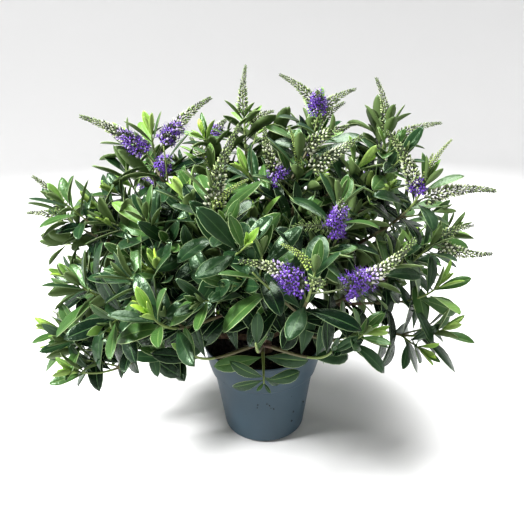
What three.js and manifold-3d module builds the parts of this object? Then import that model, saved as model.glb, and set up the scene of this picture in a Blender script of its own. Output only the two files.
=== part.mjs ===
// Hebe shrub in its plastic nursery pot.
// Millimetres, +Z up. The origin is the middle of the pot's flat underside and -Y is the front.
//
// The shrub is a short main stem that forks low into boughs. Every bough is one tapering limb that
// ends in a leafy spray, and carries further sprays on short stubs along its side. A spray is one
// leading shoot with opposite pairs of leaves, each pair turned 90 degrees from the last, with side
// shoots in the lower axils and flower spikes (racemes) in the upper ones. Each spray keeps to its
// own space, which is everything nearer to its leading shoot than to any other spray's.
import * as THREE from 'three';
import { mergeVertices } from 'three/addons/utils/BufferGeometryUtils.js';
import Module from 'manifold-3d';

const wasm = await Module();
wasm.setup();

// ---------------------------------------------------------------- driving dimensions, mm

const GAP = 0.3; // clear gap between neighbouring solids
const SHORTEST_EDGE = 0.01; // shorter edges, which cuts leave behind, are closed up

const POT = {
  height: 138,
  rimRadius: 85,
  lipHeight: 4, // the lip's plain outer band
  lipFlare: 1.6, // how far the lip stands out of the collar
  lipEdge: 0.8, // its broken top edge
  collarHeight: 41, // from the rim down to the shoulder
  collarFootRadius: 76,
  shoulderHeight: 5,
  shoulderStep: 2.5, // how far the shoulder swells before it meets the collar
  bodyTopRadius: 71.5,
  baseRadius: 59,
  footRound: 9,
  footTurn: 81, // degrees of the foot's rounding
  innerFootRound: [3, 5],
  wall: 2.2,
  floor: 3,
  sides: 24,
};
const DRAIN = { count: 4, radius: 6, circle: 36, sides: 6 };

const SOIL = { top: 120, sag: 2.5, seatRadius: 22 };

const STEM = {
  footRadius: 14,
  waistRadius: 10.5,
  headRadius: 9,
  flareHeight: 14,
  height: 36,
  lean: 3,
  sides: 8,
  steps: 4,
};

const BOUGH = { rootRadius: 5, tipRadius: 3.1, sides: 5, steps: 4, bareShare: 0.44 };
// For each level: how high on the stem its boughs sit, the length of stub that the stem has for each,
// the share of its tip's rise and the fixed rise it leaves the stem with, and how far it turns up.
const BOUGH_LEVELS = {
  low: { seat: 16, stub: 22, riseShare: 0.8, rise: 6, turnUp: 15 },
  middle: { seat: 27, stub: 25, riseShare: 0.8, rise: 0, turnUp: 26 },
  high: { seat: 33, stub: 30, riseShare: 0, rise: 74, turnUp: 26 },
};
const STEEPEST = 88; // degrees, for any limb's tip
const LIMB_BEND = { root: 0.38, tip: 0.34 }; // how far each end's direction holds, as a share of the limb
// How a spray leaves its bough: partly towards its own tip, partly along the bough. Its stub stays short
// of the bough's end, and is long enough to show its root at any angle.
const FORK = { towardsTip: 0.8, alongBough: 0.3, turnUp: 26, endRoom: 8, cover: 1.5, leastAngle: 0.5 };

const TWIG = { rootRadius: 2.6, sideRadius: 1.1, tipShare: 0.6, sides: 3, step: 60, bareRoot: 13 };
const ROOT_ROOM = 5.2; // around a piece's root, where it may touch the twig that carries it
const LEAF = {
  length: 84,
  width: 30,
  thickness: 1.1,
  rootSunk: 0.15, // past the twig's middle line
  lift: 0.22, // how strongly a leaf turns up towards the light
  arch: 0.05, // rise of its middle, and fold of its edges, as shares of its length
  fold: 0.035,
};
const NODE_DROPS = [8, 34, 68, 106, 144]; // how far each pair of leaves sits below the shoot's tip
const PAIR_SIZES = [0.6, 0.85, 1, 1, 1]; // share of full length, pair by pair
const PAIR_SPREADS = [30, 52, 66, 70, 70]; // degrees between leaf and shoot, pair by pair
const SIDE_SHOOTS = { drop: 86, length: 84, pairs: 2, spread: 52, curl: 0.2 };
// How far each measure may stray: angles in radians for a twist or turn, in degrees for a spread, and
// shares for a length.
const STRAY = { twist: Math.PI / 4, turn: 0.12, spread: 10, leaf: 0.1, shootSpread: 8, shoot: 0.15 };
const FITS = [1, 0.8, 0.62]; // shares of full length that are tried before a piece is skipped
const OVERREACH = 36; // how far past its spray's tip a leaf may reach, from the middle of the soil
const BORDER = 22; // how far leaves may reach in among the next spray's, without touching them
const CLEARANCE = 0.5; // kept between the leaves and twigs of neighbouring sprays
const LIMB_MARGIN = 1; // clear of boughs, pot and soil
const UNDERSIDE = { height: 112, slope: 0.06, frontSlope: 0.45, hanging: 112 };
// A raceme tapers from its buds' radius to a thin tip, and swells where its flowers are open. The more
// are open, the higher and longer the swelling.
const RACEME = {
  stalkRadius: 1.1,
  budRadius: [6.9, 2.7],
  openRadius: 16,
  opening: 1.6,
  swellAt: [0.28, 0.48],
  swellReach: [0.3, 0.55],
  sides: 4,
  steps: 3,
  sway: 0.5,
};

// One row for each bough: its level on the main stem, then its sprays. The first spray is the
// bough's own end. A spray is [heading, rise, reach, seat]: the direction of its tip from the middle
// of the soil in degrees, the distance to it in mm, and where it sits on its bough (0 root, 1 end).
// A raceme is [drop, heading, rise, length, bloom]: how far below the spray's tip it starts, its
// direction, its length, and how far it has opened (0 all buds, 1 all open flowers).
const BOUGHS = [
  {
    name: 'upper_left',
    level: 'middle',
    sprays: [
      {
        at: [176, 66, 342],
        racemes: [[46, 196, 36, 94, 0.6], [36, 8, 46, 90, 0.5], [64, 275, 28, 52, 1]],
      },
      { at: [184, 41, 350, 0.75], racemes: [[20, 226, 60, 60, 0.05], [34, 180, 14, 48, 0]] },
      { at: [214, 55, 282, 0.9] },
      { at: [208, 33, 290, 0.55] },
      { at: [228, 46, 248, 0.7] },
    ],
  },
  {
    name: 'low_left',
    level: 'low',
    sprays: [
      { at: [186, 11, 290], racemes: [[22, 180, 56, 40, 0]] },
      { at: [205, 8, 262, 0.85] },
      { at: [172, 24, 284, 0.7], racemes: [[18, 180, 66, 36, 0.3]] },
      { at: [229, 22, 195, 0.45] },
      { at: [206, 22, 222, 0.6] },
    ],
  },
  {
    name: 'front_left',
    level: 'middle',
    sprays: [
      { at: [250, 61, 308], racemes: [[30, 30, 72, 92, 0.2], [22, 345, 30, 50, 0]] },
      { at: [240, 34, 274, 0.6] },
      { at: [270, 50, 278, 0.85] },
    ],
  },
  {
    name: 'front_low',
    level: 'low',
    sprays: [
      { at: [268, 31, 252] },
      { at: [270, 11, 130, 0.45], turnUp: -50, leafShare: 0.48, hangs: true },
      { at: [246, 27, 220, 0.75] },
      { at: [292, 27, 222, 0.9] },
    ],
  },
  {
    name: 'front_right',
    level: 'middle',
    sprays: [
      {
        at: [283, 43, 306],
        racemes: [
          [28, 192, 42, 76, 0.55], [12, 180, 38, 44, 0], [34, 0, 38, 88, 0.6], [24, 285, 35, 42, 0.1],
        ],
      },
      { at: [302, 30, 240, 0.6] },
      { at: [326, 44, 262, 0.75] },
      { at: [306, 60, 290, 0.9], racemes: [[26, 335, 38, 62, 0.85], [20, 190, 50, 40, 0.9]] },
    ],
  },
  {
    name: 'centre',
    level: 'high',
    sprays: [
      {
        at: [318, 78, 298],
        racemes: [[20, 0, 28, 70, 0.35], [38, 350, 40, 76, 0.45], [30, 170, 80, 60, 0]],
      },
      { at: [10, 62, 286, 0.7] },
      { at: [262, 72, 232, 0.5] },
    ],
  },
  {
    name: 'top',
    level: 'high',
    sprays: [
      {
        at: [108, 78, 334],
        racemes: [[6, 60, 84, 60, 0.15], [18, 344, 30, 44, 0.35], [30, 190, 60, 44, 0.3]],
      },
      { at: [124, 60, 308, 0.75], racemes: [[24, 150, 60, 50, 0.2]] },
      {
        at: [24, 76, 348, 0.9],
        racemes: [[4, 180, 42, 54, 0], [30, 247, 20, 50, 0.9], [10, 0, 18, 44, 0], [34, 18, 40, 50, 0]],
      },
      { at: [190, 77, 278, 0.6], racemes: [[22, 170, 66, 56, 0.7], [30, 60, 60, 56, 0.3]] },
    ],
  },
  {
    name: 'upper_right',
    level: 'middle',
    sprays: [
      { at: [4, 63, 358], racemes: [[26, 175, 80, 62, 0], [30, 0, 20, 58, 0]] },
      {
        at: [340, 52, 336, 0.8],
        racemes: [[30, 180, 64, 72, 0.1], [16, 0, 64, 50, 0], [34, 0, 4, 72, 0.15], [42, 200, 50, 36, 0.8]],
      },
    ],
  },
  {
    name: 'low_right',
    level: 'low',
    sprays: [
      { at: [353, 37, 284], racemes: [[20, 0, -24, 96, 0.1], [14, 0, 6, 44, 0]] },
      { at: [340, 17, 258, 0.55] },
      { at: [342, 29, 268, 0.92] },
      { at: [14, 31, 312, 0.9] },
    ],
  },
  {
    name: 'back_right',
    level: 'middle',
    sprays: [
      { at: [42, 46, 320], racemes: [[26, 20, 40, 70, 0.4], [30, 110, 50, 60, 0.1]] },
      { at: [36, 16, 280, 0.5] },
      { at: [64, 58, 310, 0.9], racemes: [[20, 80, 60, 60, 0.2]] },
      { at: [70, 32, 290, 0.7] },
    ],
  },
  {
    name: 'back_low',
    level: 'low',
    sprays: [
      { at: [96, 14, 266] },
      { at: [66, 9, 252, 0.7] },
      { at: [126, 12, 260, 0.6] },
    ],
  },
  {
    name: 'back_left',
    level: 'middle',
    sprays: [
      { at: [140, 44, 315], racemes: [[24, 160, 40, 66, 0.5], [30, 70, 50, 56, 0]] },
      { at: [154, 17, 282, 0.5] },
      { at: [104, 42, 300, 0.8], racemes: [[26, 100, 40, 62, 0.3]] },
      { at: [166, 54, 326, 0.95] },
    ],
  },
];

const MATERIALS = {
  pot: { color: 0x52606b, roughness: 0.55, metalness: 0 },
  soil: { color: 0x2b221c, roughness: 0.95, metalness: 0 },
  bark: { color: 0x6b5240, roughness: 0.85, metalness: 0 },
  foliage: { color: 0x47682f, roughness: 0.5, metalness: 0 },
};

// ---------------------------------------------------------------- small helpers

const radians = THREE.MathUtils.degToRad;

// A repeatable number from 0 to 1 for any set of up to four whole numbers.
function chance(a, b = 0, c = 0, d = 0) {
  const wave = Math.sin(a * 12.9898 + b * 78.233 + c * 37.719 + d * 4.581) * 43758.5453;
  return wave - Math.floor(wave);
}

// The same, spread evenly from -reach to +reach.
function swing(reach, ...keys) {
  return (2 * chance(...keys) - 1) * reach;
}

function direction(heading, rise) {
  const flat = Math.cos(radians(rise));
  return new THREE.Vector3(
    flat * Math.cos(radians(heading)),
    flat * Math.sin(radians(heading)),
    Math.sin(radians(rise)),
  );
}

function toSolid(geometry) {
  const bare = geometry.clone();
  bare.deleteAttribute('normal');
  bare.deleteAttribute('uv');
  const merged = mergeVertices(bare, 1e-4);
  return new wasm.Manifold(new wasm.Mesh({
    numProp: 3,
    vertProperties: new Float32Array(merged.attributes.position.array),
    triVerts: new Uint32Array(merged.index.array),
  }));
}

function joined(solids) {
  let round = solids;
  while (round.length > 1) {
    const next = [];
    for (let i = 0; i < round.length; i += 2) {
      next.push(i + 1 < round.length ? round[i].add(round[i + 1]) : round[i]);
    }
    round = next;
  }
  return round[0];
}

const shrub = new THREE.Group();

// Only the largest shell of a solid is kept, so that a hollow sealed by crossing leaves is filled.
function place(name, solid, material) {
  const shells = solid.asOriginal().simplify(SHORTEST_EDGE).decompose();
  const mesh = shells.reduce((best, shell) => (shell.volume() > best.volume() ? shell : best)).getMesh();
  const geometry = new THREE.BufferGeometry();
  geometry.setAttribute('position', new THREE.BufferAttribute(new Float32Array(mesh.vertProperties), 3));
  geometry.setIndex(new THREE.BufferAttribute(new Uint32Array(mesh.triVerts), 1));
  geometry.computeVertexNormals();
  const node = new THREE.Mesh(geometry, new THREE.MeshStandardMaterial(material));
  node.name = name;
  shrub.add(node);
}

// Bends a cylinder or cone of height 1, which stands along Y, onto a stretch of a curve. `from` and `to`
// are distances along the curve in mm, and radiusAt(share) is the radius from one end to the other.
function bendOnto(curve, from, to, radiusAt, unit, twist = 0) {
  const length = curve.getLength();
  const position = unit.attributes.position;
  const point = new THREE.Vector3();
  const frame = frameAlong(curve, twist);
  for (let i = 0; i < position.count; i += 1) {
    const share = position.getY(i) + 0.5;
    const u = THREE.MathUtils.clamp((from + (to - from) * share) / length, 0, 1);
    const { side, up } = frame(u);
    const fromAxis = Math.hypot(position.getX(i), position.getZ(i));
    const radius = fromAxis > 1e-6 ? radiusAt(share) / fromAxis : 0;
    point.copy(curve.getPointAt(u)).addScaledVector(side, position.getX(i) * radius);
    point.addScaledVector(up, -position.getZ(i) * radius);
    position.setXYZ(i, point.x, point.y, point.z);
  }
  return unit;
}

// The two directions square to a curve at a share of its length. `side` is level before the twist.
function frameAlong(curve, twist = 0) {
  const chord = curve.getPointAt(1).sub(curve.getPointAt(0));
  const level = new THREE.Vector3(-chord.y, chord.x, 0);
  if (level.length() < 1) level.set(0, 1, 0);
  level.normalize();
  return (u) => {
    const along = curve.getTangentAt(u);
    const side = level.clone().addScaledVector(along, -level.dot(along)).normalize();
    side.applyAxisAngle(along, twist);
    const up = new THREE.Vector3().crossVectors(along, side).normalize();
    return { along, side, up };
  };
}

function taper(start, end) {
  return (share) => start + (end - start) * share;
}

// ---------------------------------------------------------------- pot and soil

function potOuterProfile() {
  const { height, rimRadius, lipHeight, lipFlare, lipEdge, collarHeight, collarFootRadius } = POT;
  const shoulder = height - collarHeight;
  const foot = [];
  for (let i = 0; i <= 3; i += 1) {
    const turn = radians((i * POT.footTurn) / 3);
    foot.push([
      POT.baseRadius - POT.footRound * (1 - Math.sin(turn)),
      POT.footRound * (1 - Math.cos(turn)),
    ]);
  }
  return [
    [0, 0],
    ...foot,
    [POT.bodyTopRadius, shoulder - POT.shoulderHeight],
    [POT.bodyTopRadius + POT.shoulderStep, shoulder - POT.shoulderHeight / 2],
    [collarFootRadius, shoulder],
    [rimRadius - lipFlare - lipEdge, height - lipHeight - lipFlare],
    [rimRadius, height - lipHeight],
    [rimRadius, height - lipEdge],
    [rimRadius - lipEdge, height],
  ];
}

function potInnerProfile(clearance) {
  const shoulder = POT.height - POT.collarHeight;
  const inset = POT.wall + clearance;
  const [roundIn, roundUp] = POT.innerFootRound;
  return [
    [POT.baseRadius - inset - roundIn, POT.floor + clearance],
    [POT.baseRadius - inset, POT.floor + clearance + roundUp],
    [POT.bodyTopRadius - inset, shoulder - POT.shoulderHeight],
    [POT.collarFootRadius - inset, shoulder],
  ];
}

function innerRadiusAt(height, clearance) {
  const shoulder = POT.height - POT.collarHeight;
  const share = (height - shoulder) / POT.collarHeight;
  const collarTop = POT.rimRadius - POT.lipFlare;
  return POT.collarFootRadius + (collarTop - POT.collarFootRadius) * share - POT.wall - clearance;
}

function turned(profile, sides) {
  const points = profile.map(([radius, height]) => new THREE.Vector2(radius, height));
  return new THREE.LatheGeometry(points, sides).rotateX(Math.PI / 2);
}

function makePot() {
  const profile = [
    ...potOuterProfile(),
    [POT.rimRadius - POT.wall, POT.height],
    [innerRadiusAt(POT.height, 0) - POT.lipEdge, POT.height - POT.lipFlare],
    ...potInnerProfile(0).reverse(),
    [0, POT.floor],
  ];
  let pot = toSolid(turned(profile, POT.sides));
  for (let i = 0; i < DRAIN.count; i += 1) {
    const angle = radians(45 + (i * 360) / DRAIN.count);
    const hole = new THREE.CylinderGeometry(DRAIN.radius, DRAIN.radius, POT.floor * 4, DRAIN.sides);
    hole.rotateX(Math.PI / 2);
    hole.translate(DRAIN.circle * Math.cos(angle), DRAIN.circle * Math.sin(angle), 0);
    pot = pot.subtract(toSolid(hole));
  }
  return pot;
}

function makeSoil() {
  const profile = [
    [0, POT.floor + GAP],
    ...potInnerProfile(GAP),
    [innerRadiusAt(SOIL.top - SOIL.sag, GAP), SOIL.top - SOIL.sag],
    [SOIL.seatRadius, SOIL.top],
    [0, SOIL.top],
  ];
  return toSolid(turned(profile, POT.sides));
}

// ---------------------------------------------------------------- the skeleton

const CROWN_FOOT = new THREE.Vector3(0, 0, SOIL.top);
const STEM_FOOT = new THREE.Vector3(0, 0, SOIL.top + GAP);
const STEM_HEAD = new THREE.Vector3(STEM.lean, 0, SOIL.top + GAP + STEM.height);

function tipOf(spray) {
  const [heading, rise, reach] = spray.at;
  return CROWN_FOOT.clone().addScaledVector(direction(heading, rise), reach);
}

// A limb leaves flatter than its chord and ends steeper than it, as shoots that seek the light do.
function limbCurve(start, startDirection, end, endDirection) {
  const reach = start.distanceTo(end);
  return new THREE.CubicBezierCurve3(
    start,
    start.clone().addScaledVector(startDirection, reach * LIMB_BEND.root),
    end.clone().addScaledVector(endDirection, -reach * LIMB_BEND.tip),
    end,
  );
}

function growBough(bough, number) {
  const level = BOUGH_LEVELS[bough.level];
  const [heading, rise] = bough.sprays[0].at;
  const start = STEM_FOOT.clone().lerp(STEM_HEAD, (level.seat - GAP) / STEM.height);
  const startDirection = direction(heading, rise * level.riseShare + level.rise);
  const endDirection = direction(heading, Math.min(rise + level.turnUp, STEEPEST));
  const curve = limbCurve(start, startDirection, tipOf(bough.sprays[0]), endDirection);
  const bare = curve.getLength() * BOUGH.bareShare;
  return { ...bough, number, curve, stub: level.stub, bare };
}

function boughRadius(bough, distance) {
  return THREE.MathUtils.lerp(BOUGH.rootRadius, BOUGH.tipRadius, distance / bough.bare);
}

function growSpray(bough, spray, index) {
  const name = `${bough.name}_spray_${index + 1}`;
  const seedKey = bough.number * 10 + index;
  if (index === 0) {
    return { ...spray, name, bough, seedKey, curve: bough.curve, from: bough.bare + GAP, stub: null };
  }
  const [heading, rise, , seat] = spray.at;
  const seatDistance = bough.stub + (bough.bare - bough.stub - FORK.endRoom) * seat;
  const u = seatDistance / bough.curve.getLength();
  const start = bough.curve.getPointAt(u);
  const end = tipOf(spray);
  const along = bough.curve.getTangentAt(u);
  const startDirection = end.clone().sub(start).normalize().multiplyScalar(FORK.towardsTip);
  startDirection.addScaledVector(along, FORK.alongBough).normalize();
  const endRise = Math.min(rise + (spray.turnUp ?? FORK.turnUp), STEEPEST);
  const curve = limbCurve(start, startDirection, end, direction(heading, endRise));
  const angle = curve.getTangentAt(0).angleTo(along);
  const radius = boughRadius(bough, seatDistance);
  const stub = (radius + TWIG.rootRadius + FORK.cover) / Math.sin(Math.max(angle, FORK.leastAngle));
  return { ...spray, name, bough, seedKey, curve, from: stub + GAP, stub };
}

const boughs = BOUGHS.map(growBough);
const sprays = boughs.flatMap((bough) => bough.sprays.map((spray, i) => growSpray(bough, spray, i)));

// ---------------------------------------------------------------- each spray's own space

function polyline(curve, from, to, count) {
  const length = curve.getLength();
  const points = [];
  for (let i = 0; i <= count; i += 1) {
    points.push(curve.getPointAt(THREE.MathUtils.clamp((from + ((to - from) * i) / count) / length, 0, 1)));
  }
  return points;
}

const line = new THREE.Line3();
const nearest = new THREE.Vector3();

function distanceToPolyline(point, points) {
  let best = Infinity;
  for (let i = 1; i < points.length; i += 1) {
    line.set(points[i - 1], points[i]);
    line.closestPointToPoint(point, true, nearest);
    best = Math.min(best, nearest.distanceTo(point));
  }
  return best;
}

for (const spray of sprays) {
  spray.axis = polyline(spray.curve, spray.from, spray.curve.getLength(), 8);
}

const limbLines = boughs.map((bough) => polyline(bough.curve, 0, bough.bare, 10));

function clearOfLimbs(points, margin) {
  return limbLines.every((limb) => points.every((point) => (
    distanceToPolyline(point, limb) > BOUGH.rootRadius + margin
  )));
}

// Leaves stay over the rim, or outside it and above the crown's underside. That rises outward, and
// most straight in front, where the shoots arch up over the rim.
function clearOfPot(points, spray) {
  return points.every((point) => {
    const fromAxis = Math.hypot(point.x, point.y);
    if (fromAxis < POT.rimRadius + LIMB_MARGIN) return point.z > POT.height + LIMB_MARGIN;
    if (spray.hangs) return point.z > UNDERSIDE.hanging;
    const ahead = Math.max(0, -point.y) * (point.y / fromAxis) ** 2;
    return point.z > UNDERSIDE.height + UNDERSIDE.slope * fromAxis + UNDERSIDE.frontSlope * ahead;
  });
}

function inOwnSpace(points, spray) {
  return points.every((point) => {
    const own = distanceToPolyline(point, spray.axis);
    return sprays.every((other) => (
      other === spray || distanceToPolyline(point, other.axis) > own - BORDER
    ));
  });
}

function fits(points, spray) {
  return clearOfPot(points, spray) && inOwnSpace(points, spray) && clearOfLimbs(points, LIMB_MARGIN);
}

// ---------------------------------------------------------------- leaves, twigs and racemes

// Every twig, leaf and raceme so far, each with its spray, its solid and its bounding box.
const placed = [];

function addPiece(spray, geometry) {
  const solid = toSolid(geometry);
  placed.push({ spray, solid, box: solid.boundingBox() });
}

function boxesMeet(a, b) {
  return [0, 1, 2].every((axis) => a.min[axis] < b.max[axis] && b.min[axis] < a.max[axis]);
}

function meetsAny(geometry, others) {
  const solid = toSolid(geometry);
  const box = solid.boundingBox();
  return others.some((other) => boxesMeet(box, other.box) && !solid.intersect(other.solid).isEmpty());
}

// `shape` makes the piece's geometry for a shift away from its root and an extra thickness. The piece
// is added if it fits, stays clear of the other sprays and crosses nothing of its own beyond its root.
function addIfFree(spray, shape, skipLeader = false) {
  const points = pointsOf(shape(0, 0)).filter((point) => point.distanceTo(shape.root) > ROOT_ROOM);
  if (!fits(points, spray)) return false;
  if (points.some((point) => point.distanceTo(CROWN_FOOT) > (shape.reach ?? Infinity))) return false;
  if (meetsAny(shape(0, CLEARANCE), placed.filter((other) => other.spray !== spray))) return false;
  const own = placed.filter((other) => other.spray === spray).slice(skipLeader ? 1 : 0);
  if (meetsAny(shape(ROOT_ROOM, 0), own)) return false;
  addPiece(spray, shape(0, 0));
  return true;
}

function pointsOf(geometry) {
  const position = geometry.attributes.position;
  const points = [];
  const middle = new THREE.Vector3();
  for (let i = 0; i < position.count; i += 1) {
    points.push(new THREE.Vector3().fromBufferAttribute(position, i));
    middle.addScaledVector(points[i], 1 / position.count);
  }
  return [...points, middle];
}

// A leaf is an octahedron pressed flat: it folds up a little along its midrib and its tip bends down.
function leafGeometry(node, along, outward, length, spread, extra) {
  const ahead = along.clone().multiplyScalar(Math.cos(spread)).addScaledVector(outward, Math.sin(spread));
  ahead.z += LEAF.lift;
  ahead.normalize();
  const wide = new THREE.Vector3().crossVectors(along, ahead).normalize();
  const face = new THREE.Vector3().crossVectors(ahead, wide);
  const width = (LEAF.width * length) / LEAF.length + 2 * extra;
  const leaf = new THREE.OctahedronGeometry(1, 0);
  const position = leaf.attributes.position;
  const point = new THREE.Vector3();
  for (let i = 0; i < position.count; i += 1) {
    const x = position.getX(i);
    const y = position.getY(i);
    const z = position.getZ(i);
    const middle = 1 - Math.abs(x);
    const run = (length + extra) * (0.5 + 0.5 * x) - LEAF.rootSunk * (x < 0 ? 1 : 0);
    const bulge = LEAF.arch * middle + LEAF.fold * Math.abs(y);
    const rise = length * bulge + (LEAF.thickness / 2 + extra) * z;
    point.copy(node).addScaledVector(ahead, run).addScaledVector(wide, (y * width) / 2);
    point.addScaledVector(face, rise);
    position.setXYZ(i, point.x, point.y, point.z);
  }
  return leaf;
}

function twigGeometry(shoot, rootRadius, extra) {
  const unit = new THREE.CylinderGeometry(1, 1, 1, TWIG.sides, shoot.joints.length - 1);
  const radiusAt = taper(rootRadius + extra, rootRadius * TWIG.tipShare + extra);
  return bendOnto(shoot.curve, shoot.from, shoot.length, radiusAt, unit, shoot.twist);
}

// The point that lies `drop` mm below the tip of a shoot's twig, which is straight between its joints.
function onTwig(shoot, drop) {
  const last = shoot.joints.length - 1;
  const back = (drop / (shoot.length - shoot.from)) * last;
  const joint = Math.min(last - 1, Math.floor(back));
  return shoot.joints[last - joint].clone().lerp(shoot.joints[last - joint - 1], back - joint);
}

function racemeRadius(share, bloom) {
  const { lerp } = THREE.MathUtils;
  if (share === 0) return RACEME.stalkRadius;
  const buds = lerp(...RACEME.budRadius, share);
  const widest = lerp(RACEME.budRadius[0], RACEME.openRadius, Math.min(1, bloom * RACEME.opening));
  const fromWidest = Math.abs(share - lerp(...RACEME.swellAt, bloom));
  return Math.max(buds, widest * (1 - fromWidest / lerp(...RACEME.swellReach, bloom)));
}

function moved(geometry, way, distance) {
  return geometry.translate(...way.clone().multiplyScalar(distance));
}

function makeShoot(spray, curve, key, pairs, from) {
  const length = curve.getLength();
  const joints = polyline(curve, from, length, Math.max(1, Math.round((length - from) / TWIG.step)));
  return { spray, curve, key, pairs, from, length, joints, twist: swing(STRAY.twist, key, 9) };
}

function startSpray(spray) {
  const shoot = makeShoot(spray, spray.curve, spray.seedKey, NODE_DROPS.length, spray.from);
  addPiece(spray, twigGeometry(shoot, TWIG.rootRadius, 0));
  return shoot;
}

function addRaceme(leader, [drop, heading, rise, fullLength, bloom]) {
  const start = onTwig(leader, drop);
  const away = direction(heading, rise);
  const first = away.clone().addScaledVector(direction(heading, rise + 60), RACEME.sway).normalize();
  for (const share of FITS) {
    const length = fullLength * share;
    const curve = new THREE.QuadraticBezierCurve3(
      start,
      start.clone().addScaledVector(first, length * 0.5),
      start.clone().addScaledVector(away, length),
    );
    const shape = (shift, extra) => {
      const unit = new THREE.ConeGeometry(1, 1, RACEME.sides, RACEME.steps);
      const radiusAt = (along) => racemeRadius(along, bloom) + extra;
      return moved(bendOnto(curve, 0, curve.getLength(), radiusAt, unit), away, shift);
    };
    shape.root = start;
    if (addIfFree(leader.spray, shape, true)) return;
  }
}

function addSideShoot(parent, drop, along, outward, key) {
  const start = onTwig(parent, drop);
  const spread = radians(SIDE_SHOOTS.spread + swing(STRAY.shootSpread, key, 5));
  const away = along.clone().multiplyScalar(Math.cos(spread)).addScaledVector(outward, Math.sin(spread));
  const fullLength = SIDE_SHOOTS.length * (1 + swing(STRAY.shoot, key, 6));
  for (const share of FITS) {
    const length = fullLength * share;
    const end = start.clone().addScaledVector(away, length).addScaledVector(along, length * SIDE_SHOOTS.curl);
    const middle = start.clone().addScaledVector(away, length * 0.5);
    const curve = new THREE.QuadraticBezierCurve3(start, middle, end);
    const shoot = makeShoot(parent.spray, curve, key, SIDE_SHOOTS.pairs, 0);
    const shape = (shift, extra) => moved(twigGeometry(shoot, TWIG.sideRadius, extra), outward, shift);
    shape.root = start;
    if (addIfFree(parent.spray, shape)) return [shoot];
  }
  return [];
}

function addSideShoots(parent) {
  const { key, curve, twist } = parent;
  if (!hasRoom(parent, SIDE_SHOOTS.drop)) return [];
  const { along, side } = frameAlong(curve, twist)(1 - SIDE_SHOOTS.drop / parent.length);
  return [1, -1].flatMap((way) => (
    addSideShoot(parent, SIDE_SHOOTS.drop, along, side.clone().multiplyScalar(way), key * 10 + way + 1)
  ));
}

function hasRoom(shoot, drop) {
  return drop < shoot.length - shoot.from - TWIG.bareRoot;
}

// One opposite pair. Each pair down a shoot is turned a quarter from the last.
function addLeafPair(shoot, pair) {
  if (pair >= shoot.pairs || !hasRoom(shoot, NODE_DROPS[pair])) return;
  const { along, side, up } = frameAlong(shoot.curve, shoot.twist)(1 - NODE_DROPS[pair] / shoot.length);
  const node = onTwig(shoot, NODE_DROPS[pair]);
  const turn = (Math.PI / 2) * (pair % 2) + swing(STRAY.turn, shoot.key, pair, 1);
  for (const half of [0, Math.PI]) {
    const outward = side.clone().multiplyScalar(Math.cos(turn + half));
    outward.addScaledVector(up, Math.sin(turn + half));
    const spread = radians(PAIR_SPREADS[pair] + swing(STRAY.spread, shoot.key, pair, half, 2));
    const fullLength = LEAF.length * PAIR_SIZES[pair] * (shoot.spray.leafShare ?? 1);
    for (const share of FITS) {
      const length = fullLength * share * (1 + swing(STRAY.leaf, shoot.key, pair, half, 3));
      const shape = (shift, extra) => (
        moved(leafGeometry(node, along, outward, length, spread, extra), outward, shift)
      );
      shape.root = node;
      shape.reach = shoot.spray.at[2] + OVERREACH;
      if (addIfFree(shoot.spray, shape)) break;
    }
  }
}

// All sprays grow together, so that none crowds out the next.
function growFoliage() {
  const leaders = sprays.map(startSpray);
  for (const leader of leaders) {
    for (const raceme of leader.spray.racemes ?? []) addRaceme(leader, raceme);
  }
  const shoots = [...leaders, ...leaders.flatMap(addSideShoots)];
  for (let pair = 0; pair < NODE_DROPS.length; pair += 1) {
    for (const shoot of shoots) addLeafPair(shoot, pair);
  }
}

// ---------------------------------------------------------------- stem and boughs

function limbSolid(curve, from, to, rootRadius, tipRadius, steps, sides = BOUGH.sides) {
  const unit = new THREE.CylinderGeometry(1, 1, 1, sides, steps);
  return toSolid(bendOnto(curve, from, to, taper(rootRadius, tipRadius), unit));
}

// The stem's rings stay level while it leans, so that its foot is cut flat.
function makeStem() {
  const profile = [[0, 0]];
  for (let i = 0; i <= STEM.steps; i += 1) {
    const share = i / STEM.steps;
    const flare = 1 - Math.sqrt(Math.min(1, (share * STEM.height) / STEM.flareHeight));
    const radius = THREE.MathUtils.lerp(STEM.waistRadius, STEM.headRadius, share);
    profile.push([radius + (STEM.footRadius - STEM.waistRadius) * flare, share * STEM.height]);
  }
  profile.push([0, STEM.height]);
  const lean = new THREE.Matrix4().makeShear(0, 0, 0, 0, STEM.lean / STEM.height, 0);
  const shape = turned(profile, STEM.sides).applyMatrix4(lean).translate(...STEM_FOOT);
  let stem = toSolid(shape);
  for (const bough of boughs) {
    stem = stem.add(limbSolid(bough.curve, 0, bough.stub, BOUGH.rootRadius, BOUGH.rootRadius, 1));
  }
  return stem;
}

function makeBough(bough) {
  const solids = [
    limbSolid(bough.curve, bough.stub + GAP, bough.bare, BOUGH.rootRadius, BOUGH.tipRadius, BOUGH.steps),
  ];
  for (const spray of sprays) {
    if (spray.bough !== bough || spray.stub === null) continue;
    solids.push(limbSolid(spray.curve, 0, spray.stub, TWIG.rootRadius, TWIG.rootRadius, 1, TWIG.sides));
  }
  return joined(solids);
}

// ---------------------------------------------------------------- the assembly

place('pot', makePot(), MATERIALS.pot);
place('soil', makeSoil(), MATERIALS.soil);
place('main_stem', makeStem(), MATERIALS.bark);
for (const bough of boughs) place(`bough_${bough.name}`, makeBough(bough), MATERIALS.bark);
growFoliage();
for (const spray of sprays) {
  const pieces = placed.filter((piece) => piece.spray === spray).map((piece) => piece.solid);
  place(spray.name, joined(pieces), MATERIALS.foliage);
}

export default shrub;
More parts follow.
